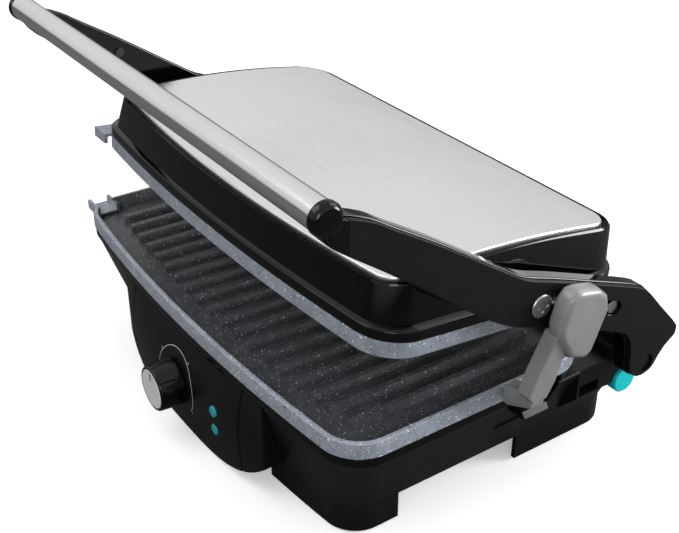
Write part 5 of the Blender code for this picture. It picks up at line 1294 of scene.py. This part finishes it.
def stone(name, ground, dark, pale, roughness):
    """Stone-effect coating: a softly mottled ground with sparse dark and pale flecks."""
    made, tree, shader = new_material(name)
    soft = noise(tree, STONE_SCALE)
    coating = shaded(tree, soft, ground, STONE_TONES, STONE_SHADES)
    for colour, (scale, limit) in zip((dark, pale), FLECKS):
        mask = ramp(tree, noise(tree, scale, 0), ((0, 1), (limit, 0)), True)
        coating = blend(tree, mask, coating, (*colour, 1))
    feed(tree, shader, Base_Color=coating,
         Roughness=between(tree, soft, roughness - STONE_SPREAD, roughness + STONE_SPREAD),
         Normal=bump(tree, noise(tree, STONE_GRAIN, 1), STONE_DEPTH, FINE_BUMP))
    return made


# Colour, roughness and its spread, scale and strength of the grain, specular level, and metallic level if any
MOULDED = {
    "satin_black": ((0.0045, 0.0045, 0.005), 0.32, 0.04, 2600, 0.08, 0.25),
    "gloss_black": ((0.0012, 0.0012, 0.0013), 0.09, 0.03, 500, 0.02, 0.35),
    "matt_black": ((0.004, 0.004, 0.004), 0.46, 0.04, 3200, 0.12, 0.20),
    "cap_silver": ((0.80, 0.80, 0.80), 0.40, 0.03, 3000, 0.10, 0.5, 0.25),
    "latch_grey": ((0.21, 0.21, 0.212), 0.28, 0.04, 2400, 0.06, 0.6),
    "teal": ((0.004, 0.50, 0.54), 0.26, 0.04, 1800, 0.05, 0.6),
    "lamp_teal": ((0.01, 0.30, 0.33), 0.12, 0.03, 900, 0.03, 0.8),
    "rubber": ((0.010, 0.010, 0.010), 0.80, 0.06, 1600, 0.25, 0.2),
    "print_white": ((0.40, 0.40, 0.40), 0.50, 0.05, 2000, 0.05, 0.3),
}
# Colour, roughness and its spread, stretch of the grain along the axes, and its strength
METALS = {
    "brushed_steel": ((0.88, 0.88, 0.875), 0.30, 0.04, (40, 2600, 2600), 0.05),
    "handle_steel": ((0.84, 0.84, 0.835), 0.20, 0.03, (40, 2600, 2600), 0.03),
    "zinc": ((0.50, 0.50, 0.50), 0.28, 0.05, (120, 120, 120), 0.01),
    # Zinc painted dark: painted shade for parts that sit in recesses, not a finish of their own
    "dark_zinc": ((0.05, 0.05, 0.05), 0.40, 0.06, (120, 120, 120), 0.01),
}
# Ground, dark flecks, pale flecks, roughness
STONES = {
    "stone_coating": ((0.28, 0.31, 0.36), (0.03, 0.03, 0.04), (0.80, 0.82, 0.88), 0.36),
    "stone_inside": ((0.060, 0.063, 0.070), (0.008, 0.008, 0.008), (0.42, 0.43, 0.45), 0.40),
}
MATERIALS = {}
for kind, recipes in ((moulded, MOULDED), (metal, METALS), (stone, STONES)):
    for name, recipe in recipes.items():
        MATERIALS[name] = kind(name, *recipe)


# Hanging the finer pieces on the CAD's bodies

RECORD = frame["record"]
BODY_OF = {name: body for body, names in RECORD["behaviour"]["bodies"].items() for name in names}
SLOT_OF = {part["node"]: part["material_slot"] for part in RECORD["subparts"]}


def centre_of(name):
    low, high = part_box(name)
    return (low + high) / 2


SHIFT = Vector((centre_of("base_bottom_cover").x, centre_of("hinge_pin_right").y - HINGE_Y, 0))


def dress(piece, material, body, slot):
    """Put a piece in the part's frame, smooth it, and give it its finish and its body."""
    piece.name = "fine_" + plain_name(piece)
    piece.data.transform(Matrix.Translation(SHIFT))
    piece.data.materials.clear()
    piece.data.materials.append(MATERIALS[material])
    piece.data.shade_smooth()
    piece.data.set_sharp_from_angle(angle=SMOOTH_ANGLE)
    weighted = piece.modifiers.new("weighted", "WEIGHTED_NORMAL")
    weighted.keep_sharp = True
    weighted.weight = NORMAL_WEIGHT
    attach(piece, body)
    return piece


def stand_in(piece, material=None):
    """A finer piece takes the place of the CAD node that has its name."""
    cad_name = plain_name(piece)
    dress(piece, material or SLOT_OF[cad_name], BODY_OF[cad_name], SLOT_OF[cad_name])
    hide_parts(cad_name)
    return piece


def both(piece):
    """A right-hand piece and its mirrored twin."""
    twin = mirrored(piece, plain_name(piece).replace("right", "left"))
    stand_in(piece)
    stand_in(twin)


def colour_inside(piece, on_lid):
    """Give the faces inside a plate's rim the darker coating."""
    edge = outline(PLATE_RIM_WIDTH * RIM_EDGE_SHARE)
    piece.data.materials.append(MATERIALS["stone_inside"])
    cosine = math.cos(LID_TILT)
    sine = math.sin(LID_TILT)
    for face in piece.data.polygons:
        x, y, height = face.center - SHIFT
        if on_lid:
            back = y - PIVOT_AXIS[0]
            up = height - PIVOT_AXIS[1]
            y = PIVOT_PLATE_Y + cosine * back - sine * up
            height = PLATE_RIM_Z - (PIVOT_HEIGHT + sine * back + cosine * up)
        within = all((end[0] - start[0]) * (y - start[1]) - (end[1] - start[1]) * (x - start[0]) > 0
                     for start, end in zip(edge, edge[1:] + edge[:1]))
        if within and height > PLATE_BAND_Z:
            face.material_index = 1


def build_pieces():
    """Everything that is seen, finer than the CAD."""
    stand_in(make_base_housing())
    for number, centre in enumerate(foot_places(), start=1):
        stand_in(make_foot_pad("foot_pad_%d" % number, centre))
    stand_in(make_base_rim())
    colour_inside(stand_in(make_plate("lower_plate", LOWER_SPOUT_SETBACK)), False)
    stand_in(make_control_panel())
    stand_in(make_lens("power_lens", POWER_LENS_Z))
    stand_in(make_lens("ready_lens", READY_LENS_Z))
    stand_in(bevelled(make_knob(), EDGE_ROUND / 2, FINE_ANGLE))
    stand_in(make_knob_cap(), "cap_silver")
    dress(make_knob_mark(), "satin_black", BODY_OF["knob"], "satin_black")
    dress(make_scale(), "print_white", "base", "satin_black")
    stand_in(make_gland())
    bracket = bevelled(make_hinge_bracket(), EDGE_ROUND, FINE_ANGLE)
    stand_in(mirrored(bracket, "hinge_bracket_left"))
    stand_in(cut_button_bore(bracket))
    stand_in(make_release_button())
    # The catch behind the housing's window gets zinc painted dark, as painted shade
    stand_in(bevelled(make_latch_catch(), EDGE_ROUND / 2, FINE_ANGLE), "dark_zinc")
    for make in (make_arm, make_arm_cover, make_slot_rivet, make_pivot_screw):
        both(make())
    stand_in(make_handle_tube(), "handle_steel")
    for make in (make_handle_core, make_latch, make_lid_housing, make_lid_panel):
        stand_in(make())
    colour_inside(stand_in(make_upper_plate()), True)


build_pieces()

# CAD parts that stay keep their slot's finish, except the fasteners in the arms' recesses, which get zinc
# painted dark as painted shade
for name, piece in frame["nodes"].items():
    if not piece.hide_render:
        finish = "dark_zinc" if name.startswith(RECESS_SHADE_FASTENERS) else SLOT_OF[name]
        for index in range(len(piece.data.materials)):
            piece.data.materials[index] = MATERIALS[finish]


# Floor, light and camera

def make_floor():
    """Pale to the camera, with the object's shadow, and dark grey to everything else."""
    mesh = bpy.data.meshes.new("floor")
    corners = [(x * FLOOR_HALF, y * FLOOR_HALF, -FLOOR_DROP) for x, y in ((-1, -1), (1, -1), (1, 1), (-1, 1))]
    mesh.from_pydata(corners, [], [(0, 1, 2, 3)])
    made, tree, shader = new_material("pale_floor")
    camera_ray = tree.nodes.new("ShaderNodeLightPath").outputs["Is Camera Ray"]
    pale = between(tree, noise(tree, FLOOR_SCALE), *FLOOR_PALE)
    feed(tree, shader, Base_Color=blend(tree, camera_ray, (*FLOOR_UNSEEN, 1), pale),
         Roughness=FLOOR_ROUGHNESS, Specular_IOR_Level=FLOOR_GLOSS, Emission_Strength=camera_ray,
         Emission_Color=(*FLOOR_GLOW, 1))
    mesh.materials.append(made)
    new_piece("floor", mesh)


def make_world():
    """White to the camera, and a soft room to everything else."""
    world = bpy.data.worlds.new("studio")
    world.use_nodes = True
    tree = world.node_tree
    place_node = tree.nodes.new("ShaderNodeTexCoord")
    split = node(tree, "ShaderNodeSeparateXYZ", Vector=place_node.outputs["Generated"])
    room = feed(tree, tree.nodes["Background"], Color=ramp(tree, split.outputs["Z"], ROOM_LEVELS),
                Strength=WORLD_LEVEL)
    white = node(tree, "ShaderNodeBackground", Color=(1, 1, 1, 1), Strength=BACKDROP_LEVEL)
    path = tree.nodes.new("ShaderNodeLightPath")
    mixed = node(tree, "ShaderNodeMixShader", i0=path.outputs["Is Camera Ray"], i1=room.outputs[0],
                 i2=white.outputs[0])
    feed(tree, tree.nodes["World Output"], Surface=mixed.outputs[0])
    bpy.context.scene.world = world


def make_lights():
    for name, place_of_light, half, power in SOFT_LIGHTS:
        data = bpy.data.lights.new(name, "AREA")
        data.size = 2 * half
        data.energy = power
        light = new_piece(name, data)
        light.location = place_of_light
        aim = Vector(LIGHT_AIM) - light.location
        light.rotation_mode = "QUATERNION"
        light.rotation_quaternion = aim.to_track_quat("-Z", "Y")


def make_camera():
    data = bpy.data.cameras.new("camera")
    data.sensor_width = SENSOR_WIDTH
    data.lens = FOCAL_PIXELS / PICTURE_WIDTH * SENSOR_WIDTH
    data.clip_start = CLIP_START
    camera = new_piece("camera", data)
    camera.location = CAMERA_PLACE
    camera.rotation_euler = (math.pi / 2 - CAMERA_PITCH, 0, CAMERA_YAW)
    bpy.context.scene.camera = camera


make_floor()
make_world()
make_lights()
make_camera()
bpy.context.scene.view_settings.view_transform = "Standard"
